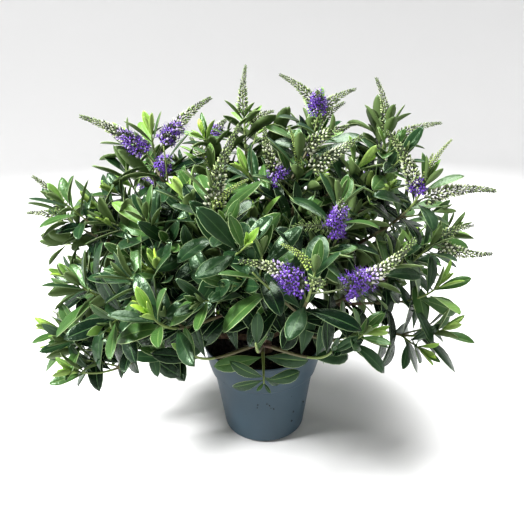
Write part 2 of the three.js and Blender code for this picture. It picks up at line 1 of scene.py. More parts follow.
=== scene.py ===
"""The looks of a hebe shrub in its plastic nursery pot.

The shrub grows by the same rule as its solids: a short main stem forks low into boughs, every bough
ends in a leafy spray and carries further sprays on its side, and a spray is one leading shoot with
opposite pairs of leaves. Here that rule is carried on to finer side shoots, to leaves of life size and
to the single buds and flowers of each raceme. Lengths are in millimetres until a mesh is made.
"""

import math
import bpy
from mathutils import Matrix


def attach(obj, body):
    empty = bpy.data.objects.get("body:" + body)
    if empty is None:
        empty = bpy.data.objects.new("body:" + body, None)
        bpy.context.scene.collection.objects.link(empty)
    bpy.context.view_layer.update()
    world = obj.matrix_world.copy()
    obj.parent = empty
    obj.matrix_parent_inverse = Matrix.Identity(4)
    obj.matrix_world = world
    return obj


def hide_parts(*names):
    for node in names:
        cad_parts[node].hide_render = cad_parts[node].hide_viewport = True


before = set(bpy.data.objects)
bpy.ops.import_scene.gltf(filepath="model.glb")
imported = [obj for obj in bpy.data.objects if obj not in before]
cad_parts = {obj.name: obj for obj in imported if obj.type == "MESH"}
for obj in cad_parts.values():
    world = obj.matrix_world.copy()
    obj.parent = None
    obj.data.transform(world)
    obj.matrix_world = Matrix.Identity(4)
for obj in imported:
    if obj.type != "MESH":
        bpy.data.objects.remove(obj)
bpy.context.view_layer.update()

from types import SimpleNamespace as Values

import bpy
import numpy as np
from mathutils import Matrix

MM = 0.001
UP = np.array([0.0, 0.0, 1.0])
FRONT = np.array([0.0, -1.0, 0.0])

# ---------- sizes, the same as the solids'

GAP = 0.3
POT = Values(height=138, rim=85, lip_height=4, lip_flare=1.6, edge=0.8, collar=41, collar_foot=76,
             shoulder=5, body_top=71.5, base=59, foot_round=9, wall=2.2, floor=3, sides=128)
DRAIN = Values(count=4, radius=6, circle=36, drill=6, sides=28)
SOIL_TOP = 120
STEM = Values(foot=14, waist=10.5, head=9, flare_height=14, height=36, lean=3)
BOUGH_ROOT, BOUGH_TIP, BARE_SHARE = 5, 3.1, 0.44
LEVELS = {  # seat on the stem, stub, share of the tip's rise, fixed rise, turn up
    "low": (16, 22, 0.8, 6, 15),
    "middle": (27, 25, 0.8, 0, 26),
    "high": (33, 30, 0, 74, 26),
}
STEEPEST = 88
LIMB_BEND = (0.38, 0.34)
FORK = Values(towards_tip=0.8, along_bough=0.3, turn_up=26, end_room=8, cover=1.5, least_angle=0.5)
TWIG_ROOT = 2.6

# A spray's at is (heading, rise, reach, seat): the direction of its tip from the middle of the soil in
# degrees, the distance in mm, and its seat on the bough, which the first spray of a bough has not.
# Its other traits: turn_up is how far its tip turns up, leaf_share the size of its leaves, splay how far
# those near its tip spread, painted_shade how much darker its leaves are painted as painted shade (below
# zero, lighter as painted light), sides where it has shoots of its own, and draw another draw of every
# chance. An open spray has leaves near its tip only, a young_tip still grows, and one that hangs lies
# over the rim.
# A raceme is (drop, heading, rise, length, bloom, sway, foot): it leaves drop mm below the tip. bloom is
# the share in flower, with NARROW for a young one and SPENT for one that has flowered, sway is how far
# its stalk bows, and foot the bare share of the stalk.
NARROW, SPENT = -1, 2
BOUGHS = [
    ("upper_left", "middle", [
        dict(at=(176, 66, 342), racemes=[
            (46, 196, 38, 110, 0.42, 0.5, 0.2), (36, 8, 46, 104, 0.4, 0.5, 0.2),
            (54, 300, 32, 40, 0.9, 0.5, 0.3)]),
        dict(at=(184, 41, 350, 0.75), draw=3, racemes=[(20, 220, 60, 62, 0), (34, 180, 14, 58, 0)]),
        dict(at=(214, 55, 282, 0.9)),
        dict(at=(208, 33, 290, 0.55), painted_shade=0.1),
        dict(at=(228, 46, 248, 0.7), painted_shade=0.1),
    ]),
    ("low_left", "low", [
        dict(at=(186, 11, 290), painted_shade=0.12, leaf_share=1.2, young_tip=True, racemes=[
            (22, 180, 56, 40, NARROW)]),
        dict(at=(205, 8, 262, 0.85), painted_shade=0.18),
        dict(at=(172, 24, 284, 0.7), painted_shade=0.12, racemes=[(18, 180, 60, 44, NARROW)]),
        dict(at=(229, 22, 195, 0.45), painted_shade=0.18, sides=(1,)),
        dict(at=(206, 22, 222, 0.6), painted_shade=0.18, open=True),
    ]),
    ("front_left", "middle", [
        dict(at=(250, 61, 308), racemes=[(32, 26, 72, 98, 0.04), (22, 345, 42, 50, NARROW)]),
        dict(at=(240, 34, 274, 0.6), painted_shade=0.12, young_tip=True),
        dict(at=(270, 50, 278, 0.85), painted_shade=0.12),
    ]),
    ("front_low", "low", [
        dict(at=(268, 31, 252)),
        dict(at=(270, 11, 130, 0.45), turn_up=-50, leaf_share=0.85, hangs=True),
        dict(at=(246, 27, 220, 0.75), painted_shade=0.15, sides=(1,)),
        dict(at=(292, 27, 222, 0.9), painted_shade=0.2),
    ]),
    ("front_right", "middle", [
        dict(at=(283, 43, 306), sides=(-1,), racemes=[
            (52, 184, 36, 80, 0.5, 2.4, 0.12), (4, 180, 44, 42, NARROW),
            (34, 0, 28, 112, 0.42, -0.5, 0.25), (24, 300, 30, 22, 0)]),
        dict(at=(302, 30, 240, 0.6), painted_shade=0.15, open=True, leaf_share=0.85, draw=6),
        dict(at=(326, 44, 262, 0.75), sides=(1,)),
        dict(at=(306, 60, 290, 0.9), sides=(1,), racemes=[
            (38, 275, 50, 60, 0.92, -0.3, 0.1), (36, 200, 12, 46, SPENT)]),
    ]),
    ("centre", "high", [
        dict(at=(318, 78, 298), racemes=[
            (4, 0, 30, 66, 0.03), (32, 352, 34, 90, 0.06, 0, 0.2),
            (44, 205, 60, 84, 0.2, -0.6, 0.25), (30, 170, 80, 60, NARROW)]),
        dict(at=(10, 62, 286, 0.7)),
        dict(at=(262, 72, 232, 0.5)),
    ]),
    ("top", "high", [
        dict(at=(108, 78, 334), splay=34, racemes=[(6, 60, 84, 68, 0), (18, 344, 30, 46, 0)]),
        dict(at=(124, 60, 308, 0.75), racemes=[(4, 345, 55, 62, 0.6, 0.5, 0.45), (24, 150, 60, 50, 0.2)]),
        dict(at=(24, 76, 348, 0.9), draw=6, racemes=[
            (4, 180, 42, 66, 0), (12, 262, 50, 42, 1), (10, 0, 34, 56, 0), (34, 18, 42, 56, 0)]),
        dict(at=(190, 77, 278, 0.6), racemes=[(22, 170, 66, 44, NARROW), (30, 60, 60, 56, 0)]),
    ]),
    ("upper_right", "middle", [
        dict(at=(4, 63, 358), draw=6, racemes=[(26, 175, 80, 80, 0), (30, 0, 22, 76, 0)]),
        dict(at=(340, 52, 336, 0.8), open=True, racemes=[
            (30, 180, 64, 88, 0.03), (16, 0, 64, 64, NARROW), (34, 0, 8, 94, 0.03),
            (24, 200, 60, 20, 1), (8, 60, 50, 40, NARROW)]),
    ]),
    ("low_right", "low", [
        dict(at=(353, 37, 284), painted_shade=-0.1, sides=(1,), draw=6, racemes=[
            (2, 0, -12, 78, 0.03, -0.3), (1, 0, 25, 52, 0)]),
        dict(at=(340, 17, 258, 0.55), open=True, leaf_share=1.1, young_tip=True),
        dict(at=(342, 29, 268, 0.92), open=True, sides=(), draw=8),
        dict(at=(14, 31, 312, 0.9), painted_shade=-0.1, draw=3),
    ]),
    ("back_right", "middle", [
        dict(at=(42, 46, 320), racemes=[(26, 20, 40, 70, 0.4), (30, 110, 50, 60, 0.1)]),
        dict(at=(36, 16, 280, 0.5), sides=(1,)),
        dict(at=(64, 58, 310, 0.9), racemes=[(20, 80, 60, 60, 0.2)]),
        dict(at=(70, 32, 290, 0.7)),
    ]),
    ("back_low", "low", [
        dict(at=(96, 14, 266)),
        dict(at=(66, 9, 252, 0.7)),
        dict(at=(126, 12, 260, 0.6)),
    ]),
    ("back_left", "middle", [
        dict(at=(140, 44, 315), racemes=[(24, 160, 40, 66, 0.5), (30, 70, 50, 56, 0)]),
        dict(at=(154, 17, 282, 0.5)),
        dict(at=(104, 42, 300, 0.8), racemes=[(26, 100, 40, 62, 0.3)]),
        dict(at=(166, 54, 326, 0.95), draw=5),
    ]),
]

# ---------- sizes of the finer growth

# The pairs of leaves on a shoot, from its tip down: (drop below the tip, size, spread, turn).
LEAF_DROPS = (1.5, 4, 8, 14, 23, 34, 47, 60, 74, 89, 105, 121, 138, 155, 173, 191, 210)
LEAF_SIZES = (0.28, 0.46, 0.62, 0.78, 0.9, 0.98) + (1,) * 6 + (0.96,) * 5
LEAF_SPREADS = (8, 16, 28, 41, 53, 61, 66, 70, 72, 74) + (76,) * 7
PAIRS = [(*pair, 90 * (i % 2)) for i, pair in enumerate(zip(LEAF_DROPS, LEAF_SIZES, LEAF_SPREADS))]
HANGING_PAIRS = (
    (2, 0.3, 30, 0), (5, 0.86, 76, 30), (9, 0.9, 80, 150), (42, 1.15, 78, -8), (56, 1.2, 70, 40),
)
LEAFY_DROP, OPEN_LEAFY_DROP = 200, 95  # how far down a shoot has leaves
LEAF = Values(length=60, width=22.5, thickness=0.7)
# How a leaf is held. The words with drop in their name are drops over which that trait comes or goes.
HOLD = Values(lift=0.2, lift_drop=30, sag=0.5, sag_drop=40, to_light=0.85, least_light=0.35, light_drop=40,
              light_rise=62, low_front=1.1, young_drop=34, splay_drop=30)
HANGING = Values(to_light=1.8, light_rise=28, underside=14, green=0.25)
# The form of a leaf: bends, folds and rolls in radians, and how far each trait strays.
FORM = Values(bend=0.5, young_bend=-0.25, fold=0.42, young_fold=0.35, young_narrowing=0.12, cup=0.25)
FORM_STRAY = Values(length=0.13, width=0.14, bend=0.45, fold=0.16, skew=0.28, roll=0.5)
YOUNG_TIPS = 0.3  # the share of shoots that still grow
SIDE_SHOOT = (86, 84, 52)  # drop, length, spread
FINE_SHOOTS = ((60, 40, 46, 0.4), (122, 54, 60, 0.7), (152, 56, 62, 0.6))  # the same, and a chance
FINE_LEAVES = 0.9  # the size of their leaves
SHOOT_CURL = 0.2
BARE_ROOT = 12  # mm of a shoot next to its root that bear no leaves
TWIG = Values(spacing=7, knots=0.12, olive_share=0.45)
LEADER = Values(root=TWIG_ROOT + 0.3, tip=1.0, sides=8, brown_below=110)
SIDE_TWIG = Values(root=1.5, tip=0.8, sides=5, brown_below=90)
STRAY = Values(twist=math.pi / 4, node=2, node_share=0.1, turn=0.25, spread=10, shoot_spread=8, shoot=0.15,
               size=0.1)

# Where leaves may lie: outside the pot, above the crown's underside, off the two gaps in front that show
# the soil, each (from, to, height), and off the racemes.
RIM_ROOM = 1
LEAF_MIDDLE, LEAF_END, END_DROOP = 0.6, 0.95, 0.1  # shares of the length at which a leaf is tested
LEAF_SPOTS = np.array([[0.4], [0.65], [0.9]])  # and those tested against the racemes
UNDERSIDE = Values(height=116, slope=0.06, front_slope=0.6, leaf_hang=24)
SOIL_GAPS = Values(spans=((-94, -34, 146), (46, 90, 134)), slope=0.55, closing=700)
FLOWER_ROOM, BUD_ROOM = 14, 5  # how far leaves keep from a stalk in flower or in bud
FLOWER_VIEW = (20, 40, 60)  # and from points this far in front of one in flower
VIEWER = np.array([0.0, -695.0, 515.0])
LEAF_PIECES = 3

# A raceme's stalk and buds. Their lean from the stalk, in degrees, and their size fall towards its tip.
# A bud's stage is its distance past the flowers, as a share of the stalk.
RACEME = Values(sway=0.5, foot=0.1, sway_rise=60, spacing=6, sides=5, radii=(1.1, 0.5), buds_per_mm=2.4,
                opened=0.72, stage_stray=0.07, lean=68, lean_fall=38, lean_stray=9, taper=0.6, stand=5.2)
BLOOM = Values(closed=0.01, seen=0.03, white=0.05, full=0.2)
STAGE_STEPS = Values(fresh=-0.06, open=0.03, colouring=0.14, least_opened=0.06)
FLOWER = Values(dealt=0.32, violet=0.64, reach=13.5, reach_fall=0.4, reach_stray=3, size=4.6, size_fall=0.3,
                size_stray=0.15, stand=0.7, tube=0.9)
SPENT_BUD = Values(reach=15, least=0.5, stray=0.7, radius=0.5)
NARROW_SWELL, CLOSED_SWELL = 0.56, 0.8
GOLDEN_ANGLE = math.pi * (3 - math.sqrt(5))

# ---------- colours, as plain sRGB values


def linear(*srgb):
    """A linear colour from 0 to 255 values: c/12.92 below 0.04045, else ((c + 0.055)/1.055)^2.4."""
    shares = [c / 255 for c in srgb]
    return tuple(c / 12.92 if c <= 0.04045 else ((c + 0.055) / 1.055) ** 2.4 for c in shares)


LEAF_SLOTS = [  # name, colour, roughness
    ("leaf_youngest", (164, 196, 74), 0.42),
    ("leaf_young", (118, 156, 60), 0.36),
    ("leaf_fresh", (92, 126, 54), 0.34),
    ("leaf_green", (50, 80, 35), 0.31),
    ("leaf_deep", (25, 49, 26), 0.28),
    ("leaf_darkest", (10, 27, 15), 0.26),
    ("leaf_back_young", (124, 150, 74), 0.55),
    ("leaf_back", (74, 92, 50), 0.6),
    ("leaf_edge_young", (166, 186, 100), 0.45),
    ("leaf_edge", (146, 162, 112), 0.42),
    ("leaf_edge_dark", (104, 124, 84), 0.42),
    ("leaf_rib_young", (150, 178, 84), 0.4),
    ("leaf_rib", (88, 114, 60), 0.35),
    ("leaf_rib_dark", (52, 78, 44), 0.35),
]
(YOUNGEST, YOUNG, FRESH, GREEN, DEEP, DARKEST, BACK_YOUNG, BACK, EDGE_YOUNG, EDGE, EDGE_DARK,
 RIB_YOUNG, RIB, RIB_DARK) = range(len(LEAF_SLOTS))
LEAF_SHEEN = (0.7, 1.0, 0.66, 1)

# A tip's leaves are young down to these drops, counted GROWN_DROP further where the shoot has stopped.
YOUNGEST_DROP, YOUNG_DROP, GROWN_DROP = 6, 12, 14
YOUNGEST_CHANCE, YOUNG_CHANCE = 0.55, 0.5
# Below them the tone darkens with the depth in the crown, which is painted shade, by chance and with the
# drop.
TONE = Values(depth=0.95, chance=0.6, drop=0.0035, past_tip=10)
TONE_STEPS = ((0.32, FRESH), (0.58, GREEN), (0.82, DEEP))

TWIG_SLOTS = [
    ("twig_green", (108, 126, 62), 0.5),
    ("twig_olive", (86, 82, 50), 0.6),
    ("twig_brown", (82, 63, 48), 0.75),
]
TWIG_GREEN, TWIG_OLIVE, TWIG_BROWN = range(len(TWIG_SLOTS))

# The stalk and the calyx have darker greens than their own: partly their real dark colour, partly painted
# shade for the gaps between the buds.
FLOWER_SLOTS = [
    ("raceme_stalk", (86, 98, 56), 0.6),
    ("bud_green", (106, 130, 64), 0.55),
    ("bud_young", (148, 172, 76), 0.55),
    ("bud_pale", (160, 174, 120), 0.5),
    ("bud_white", (186, 190, 166), 0.45),
    ("bud_lilac", (176, 158, 206), 0.5),
    ("calyx_green", (48, 58, 34), 0.6),
    ("petal_violet", (100, 54, 172), 0.5),
    ("petal_purple", (76, 36, 142), 0.5),
    ("petal_lilac", (140, 110, 196), 0.5),
    ("anther_dark", (70, 44, 84), 0.6),
]
(STALK_SLOT, BUD_GREEN, BUD_YOUNG, BUD_PALE, BUD_WHITE, BUD_LILAC, CALYX, VIOLET, PURPLE, LILAC,
 ANTHER) = range(len(FLOWER_SLOTS))

BUDS = {  # each kind's colours as (slot, chance up to which it is dealt), its length and its radius
    "half_open": (((CALYX, 0.7), (BUD_LILAC, 1)), 9, 2),
    "colouring": (((BUD_LILAC, 0.6), (BUD_WHITE, 0.85), (CALYX, 1)), 10, 1.8),
    "narrow": (((BUD_YOUNG, 0.75), (BUD_GREEN, 1)), 6.4, 2),
    "white": (((BUD_WHITE, 0.42), (BUD_PALE, 0.7), (BUD_GREEN, 0.9), (CALYX, 1)), 8.6, 1.7),
    "pale": (((BUD_PALE, 0.42), (BUD_GREEN, 0.9), (CALYX, 1)), 8.6, 1.7),
    "small": (((BUD_PALE, 0.4), (BUD_GREEN, 0.75), (CALYX, 1)), 7.4, 1.6),
    "tip": (((BUD_GREEN, 0.65), (CALYX, 1)), 6.4, 2),
}
LARGE_BUDS, MORE_LARGE_BUDS, SMALL_BUDS = 0.5, 0.2, 0.82  # shares of the stalk

# ---------- small helpers


def chance(a, b=0, c=0, d=0):
    """A repeatable number from 0 to 1, or an array of them: the fraction of
    sin(12.9898 a + 78.233 b + 37.719 c + 4.581 d) * 43758.5453."""
    wave = np.sin(a * 12.9898 + b * 78.233 + c * 37.719 + d * 4.581) * 43758.5453
    return wave - np.floor(wave)


def swing(reach, *keys):
    """The same, spread evenly from -reach to +reach."""
    return (2 * chance(*keys) - 1) * reach


def mix(start, end, share):
    return start + (end - start) * share


def unit(vector):
    return vector / max(np.linalg.norm(vector), 1e-9)


def turned_by(angle, side, up):
    """side, turned by an angle towards up: side cos(angle) + up sin(angle)."""
    return side * math.cos(angle) + up * math.sin(angle)


def direction(heading, rise):
    """The unit vector at a heading round the shrub and a rise above level, both in degrees."""
    h, r = math.radians(heading), math.radians(rise)
    return np.array([math.cos(r) * math.cos(h), math.cos(r) * math.sin(h), math.sin(r)])


class Curve:
    """A line through closely spaced points, read by the distance along it."""

    def __init__(self, points):
        self.points = points
        steps = np.linalg.norm(np.diff(points, axis=0), axis=1)
        self.run = np.concatenate([[0], np.cumsum(steps)])
        self.length = self.run[-1]

    def at(self, distance):
        """The point at a distance, or the points at an array of distances."""
        return np.stack([np.interp(distance, self.run, self.points[:, k]) for k in range(3)], -1)

    def along(self, distance):
        return unit(self.at(min(distance + 0.5, self.length)) - self.at(max(distance - 0.5, 0)))

    def between(self, start, end, spacing):
        """Evenly spaced points from start to end, about spacing mm apart."""
        count = max(2, int(round((end - start) / spacing)) + 1)
        return self.at(np.linspace(start, end, count))


def limb_curve(start, start_way, end, end_way):
    """A cubic Bezier curve whose handles are 0.38 and 0.34 of the distance from start to end."""
    reach = np.linalg.norm(end - start)
    b = start + start_way * reach * LIMB_BEND[0]
    c = end - end_way * reach * LIMB_BEND[1]
    t = np.linspace(0, 1, 160)[:, None]
    return Curve((1 - t) ** 3 * start + 3 * (1 - t) ** 2 * t * b + 3 * (1 - t) * t**2 * c + t**3 * end)


def quadratic_curve(start, middle, end):
    """A quadratic Bezier curve: (1 - t)^2 start + 2 (1 - t) t middle + t^2 end."""
    t = np.linspace(0, 1, 40)[:, None]
    return Curve((1 - t) ** 2 * start + 2 * (1 - t) * t * middle + t**2 * end)


def frame_at(curve, distance, twist):
    """The point at a distance along the curve, and along, side and up there. side is level before it is
    turned by twist."""
    chord = curve.points[-1] - curve.points[0]
    level = np.array([-chord[1], chord[0], 0.0])
    if np.linalg.norm(level) < 1:
        level = np.array([0.0, 1.0, 0.0])
    along = curve.along(distance)
    side = unit(level - along * np.dot(level, along))
    side = turned_by(twist, side, np.cross(along, side))
    return curve.at(distance), along, side, np.cross(along, side)


def square_to(way):
    """Any direction square to way."""
    return unit(np.cross(way, UP if abs(way[2]) < 0.9 else np.array([1.0, 0, 0])))


def turned_to(way, spin):
    """The three axes of a small shape that points along way, turned by spin about it."""
    side = square_to(way)
    up = np.cross(way, side)
    return np.stack([way, turned_by(spin, side, up), turned_by(spin, up, -side)])


def ring_steps(sides):
    """The angles of a ring's points, their numbers, and the number of the point after each."""
    ring = np.arange(sides)
    return ring * 2 * math.pi / sides, ring, (ring + 1) % sides


# ---------- meshes


class Heap:
    """Vertices and faces of many small closed shapes, to be joined into one mesh."""

    def __init__(self):
        self.points, self.faces, self.slots, self.count = [], {3: [], 4: []}, {3: [], 4: []}, 0

    def add(self, points, *groups):
        """Each group is (faces, slots): an array of corner numbers and one slot number or an array."""
        for faces, slots in groups:
            self.faces[faces.shape[1]].append(faces + self.count)
            self.slots[faces.shape[1]].append(np.broadcast_to(slots, len(faces)))
        self.points.append(points)
        self.count += len(points)

    def add_turned(self, points, groups, slots=0):
        """slots is one slot number, or one for each step of the profile."""
        self.add(points, *zip(groups, np.broadcast_to(slots, len(groups))))

    def add_tube(self, line, radii, sides, slots=0, relief=None):
        """slots is one slot number, or one for each step of the line."""
        points, quads, caps = tube(line, radii, sides, relief)
        slots = np.broadcast_to(slots, len(line) - 1)
        self.add(points, (quads, np.repeat(slots, sides)), (caps, np.repeat(slots[[0, -1]], sides)))

    def add_copies(self, copies, tints, groups):
        """Many copies of one shape, as an array of their points. tints holds the slots of each copy's
        parts, and a group is (faces, the part number of each face)."""
        number, corners = copies.shape[:2]
        steps = (np.arange(number) * corners)[:, None, None]
        self.add(copies.reshape(-1, 3), *[
            ((faces + steps).reshape(-1, faces.shape[1]), tints[:, parts].reshape(-1))
            for faces, parts in groups
        ])

    def mesh(self, name, materials, sharp=False):
        sizes = [size for size in (3, 4) if self.faces[size]]
        corners = [face for size in sizes for face in np.concatenate(self.faces[size]).tolist()]
        slots = np.concatenate([slot for size in sizes for slot in self.slots[size]])
        mesh = bpy.data.meshes.new(name)
        mesh.from_pydata(np.concatenate(self.points) * MM, [], corners)
        for material in materials:
            mesh.materials.append(material)
        mesh.polygons.foreach_set("material_index", slots.astype(np.int32))
        mesh.polygons.foreach_set("use_smooth", np.full(len(mesh.polygons), not sharp))
        mesh.update()
        piece = bpy.data.objects.new(name, mesh)
        bpy.context.scene.collection.objects.link(piece)
        return piece


def tube(line, radii, sides, relief=None):
    """A closed tube round a line of points: ring j lies at line[j] + radii[j] * relief[j, i] *
    (cos a_i side + sin a_i up), with side and up carried along the line without twisting."""
    count = len(line)
    ahead = np.gradient(line, axis=0)
    ahead /= np.linalg.norm(ahead, axis=1)[:, None]
    angles, ring, after = ring_steps(sides)
    reach = np.broadcast_to(radii, count)[:, None] * (np.ones(sides) if relief is None else relief)
    side = square_to(ahead[0])
    rings = []
    for j in range(count):
        side = unit(side - ahead[j] * np.dot(side, ahead[j]))
        round_line = np.outer(np.cos(angles), side) + np.outer(np.sin(angles), np.cross(ahead[j], side))
        rings.append(line[j] + reach[j][:, None] * round_line)
    points = np.concatenate(rings + [line[:1], line[-1:]])
    first = (np.arange(count - 1) * sides)[:, None]
    quads = np.stack([first + ring, first + after, first + sides + after, first + sides + ring], -1)
    start, end, last = count * sides, count * sides + 1, (count - 1) * sides
    caps = np.concatenate([
        np.stack([np.full(sides, start), after, ring], 1),
        np.stack([np.full(sides, end), last + ring, last + after], 1),
    ])
    return points, quads.reshape(-1, 4), caps


def turned(profile, sides):
    """A closed body of revolution: every profile point (r, z) becomes a ring of points
    (r cos a, r sin a, z), except one on the axis, which is a single point. The second result is one
    array of faces for each step of the profile."""
    angles, ring, after = ring_steps(sides)
    points, starts, groups, count = [], [], [], 0
    for radius, height in profile:
        starts.append(count)
        angle = angles if radius else angles[:1]
        corners = (radius * np.cos(angle), radius * np.sin(angle), np.full(len(angle), height))
        points.append(np.stack(corners, 1))
        count += len(angle)
    for j in range(len(profile) - 1):
        a, b = starts[j], starts[j + 1]
        if profile[j][0] == 0:
            groups.append(np.stack([np.full(sides, a), b + after, b + ring], 1))
        elif profile[j + 1][0] == 0:
            groups.append(np.stack([a + ring, a + after, np.full(sides, b)], 1))
        else:
            groups.append(np.stack([a + ring, a + after, b + after, b + ring], 1))
    return np.concatenate(points), groups


# ---------- materials


def set_inputs(node, **inputs):
    """Sets a node's inputs. An underscore in a word stands for a space in the input's name."""
    for key, value in inputs.items():
        node.inputs[key.replace("_", " ")].default_value = value
    return node


def shaded_material(name, **inputs):
    """A new material and its shader, with the inputs that are the same all over."""
    material = bpy.data.materials.new(name)
    material.use_nodes = True
    return material, set_inputs(material.node_tree.nodes["Principled BSDF"], **inputs)


def principled(name, srgb, roughness, **inputs):
    return shaded_material(name, Base_Color=(*linear(*srgb), 1), Roughness=roughness, **inputs)


def noise(shader, scale, detail=3, stretch=(1, 1, 1)):
    """A noise texture on Object coordinates, scale in cells for each metre."""
    tree = shader.id_data
    place = tree.nodes.new("ShaderNodeTexCoord")
    mapping = set_inputs(tree.nodes.new("ShaderNodeMapping"), Scale=stretch)
    texture = set_inputs(tree.nodes.new("ShaderNodeTexNoise"), Scale=scale, Detail=detail, Roughness=0.55)
    tree.links.new(place.outputs["Object"], mapping.inputs["Vector"])
    tree.links.new(mapping.outputs["Vector"], texture.inputs["Vector"])
    return texture.outputs["Fac"]


def bump(shader, height, strength, distance):
    tree = shader.id_data
    node = set_inputs(tree.nodes.new("ShaderNodeBump"), Strength=strength, Distance=distance)
    tree.links.new(height, node.inputs["Height"])
    tree.links.new(node.outputs["Normal"], shader.inputs["Normal"])


def tinted(shader, fac, *stops):
    """The base colour runs through three (position, colour) stops as fac runs from 0 to 1."""
    tree = shader.id_data
    ramp = tree.nodes.new("ShaderNodeValToRGB")
    elements = ramp.color_ramp.elements
    elements.new(stops[1][0])
    for element, (position, srgb) in zip(elements, stops):
        element.position = position
        element.color = (*linear(*srgb), 1)
    tree.links.new(fac, ramp.inputs["Fac"])
    tree.links.new(ramp.outputs["Color"], shader.inputs["Base Color"])


def plain_materials(rows, scale, strength, distance=0.0004, **inputs):
    """One material with a fine grain for each row of (name, colour, roughness)."""
    made = []
    for row in rows:
        material, shader = principled(*row, **inputs)
        bump(shader, noise(shader, scale, 4), strength, distance)
        made.append(material)
    return made


# ---------- leaves

STATIONS = np.array([0.09, 0.2, 0.34, 0.5, 0.66, 0.8, 0.92])
WIDTHS = np.array([0.14, 0.37, 0.7, 0.94, 1.0, 0.83, 0.47])
ACROSS = np.array([-1, -0.94, -0.055, 0.055, 0.94, 1, 0])  # six points on top, one underneath
STRIP_PARTS = (0, 1, 2, 1, 0)  # margin, blade, midrib, blade, margin
BACK_PART = 3


def leaf_groups():
    """Faces of one leaf and the part number of each. Corner 0 is its root, then come the stations'
    points, a row of seven for each, and the last is its tip."""
    row = len(ACROSS)
    top, under = row - 2, row - 1
    end = 1 + row * (len(STATIONS) - 1)
    tip = end + row
    quads, quad_parts, tris, tri_parts = [], [], [], []
    for a in range(1, end, row):
        b = a + row
        quads += [(a + k, b + k, b + k + 1, a + k + 1) for k in range(top)]
        quads += [(a, a + under, b + under, b), (a + under, a + top, b + top, b + under)]
        quad_parts += [*STRIP_PARTS, BACK_PART, BACK_PART]
    for k, part in enumerate(STRIP_PARTS):
        tris += [(0, 1 + k, 2 + k), (tip, end + k + 1, end + k)]
        tri_parts += [part, part]
    tris += [(0, 1 + under, 1), (0, 1 + top, 1 + under)]
    tris += [(tip, end, end + under), (tip, end + under, end + top)]
    tri_parts += [BACK_PART] * 4
    return (np.array(quads), quad_parts), (np.array(tris), tri_parts)


def leaf_points(rows):
    """Points of many leaves at once. A leaf's middle line bends evenly: at share t of its length L it
    lies at (L sin(bt)/b, -L (1 - cos(bt))/b) along its root direction and its face, where b is the bend.
    Across it, a point at share s of the half width w(t) lies w s cos(f) to the side and
    w |s| sin(f) - 0.25 w s^2 + thickness/2 above the middle line, where f is the fold. The margin has no
    thickness, w(t) is skewed by 1 + skew (t - 0.5), and the leaf is turned by roll t about that line."""
    root, ahead, face, length, width, bend, fold, skew, roll = (
        np.array(column)[:, None, None] for column in zip(*rows)
    )
    wide = np.cross(face, ahead)
    bend = np.where(np.abs(bend) < 0.02, 0.02, bend)
    t = STATIONS[None, :, None]
    half = width / 2 * WIDTHS[None, :, None] * (1 + skew * (t - 0.5))
    s = ACROSS[None, None, :]
    y = half * s * np.cos(fold)
    height = half * (np.abs(s) * np.sin(fold) - FORM.cup * s**2)
    height = height + np.where(np.abs(s) == 1, 0, LEAF.thickness / 2)
    height[:, :, -1] = -LEAF.thickness / 2
    turn = roll * t
    y, height = y * np.cos(turn) - height * np.sin(turn), y * np.sin(turn) + height * np.cos(turn)
    x = length * np.sin(bend * t) / bend + np.sin(bend * t) * height
    z = -length * (1 - np.cos(bend * t)) / bend + np.cos(bend * t) * height
    body = root + ahead * x[..., None] + wide * y[..., None] + face * z[..., None]
    tip_x = length * np.sin(bend) / bend
    tip_z = -length * (1 - np.cos(bend)) / bend
    tip = root + ahead * tip_x[..., None] + face * tip_z[..., None]
    return np.concatenate([part.reshape(len(rows), -1, 3) for part in (root, body, tip)], axis=1)


def clear_of_pot(point, spray, hang=0):
    """Leaves stay over the rim, or outside it and above the crown's underside, which rises outward
    and most straight in front. Two gaps there, left and right of the hanging shoot, show the soil."""
    from_axis = math.hypot(point[0], point[1])
    over_pot = from_axis < POT.rim + RIM_ROOM
    above_rim = point[2] > POT.height - RIM_ROOM
    if spray.get("hangs"):
        return above_rim if over_pot else point[2] > UNDERSIDE.height - HANGING.underside
    ahead = max(0, -point[1])
    sideways = point[0] / (1 - ahead / SOIL_GAPS.closing)
    for start, end, height in SOIL_GAPS.spans:
        if start < sideways < end and point[2] < height + SOIL_GAPS.slope * ahead:
            return False
    if over_pot:
        return above_rim
    front = ahead * (point[1] / from_axis) ** 2
    lowest = UNDERSIDE.height + UNDERSIDE.slope * from_axis + UNDERSIDE.front_slope * front
    return point[2] + hang > lowest


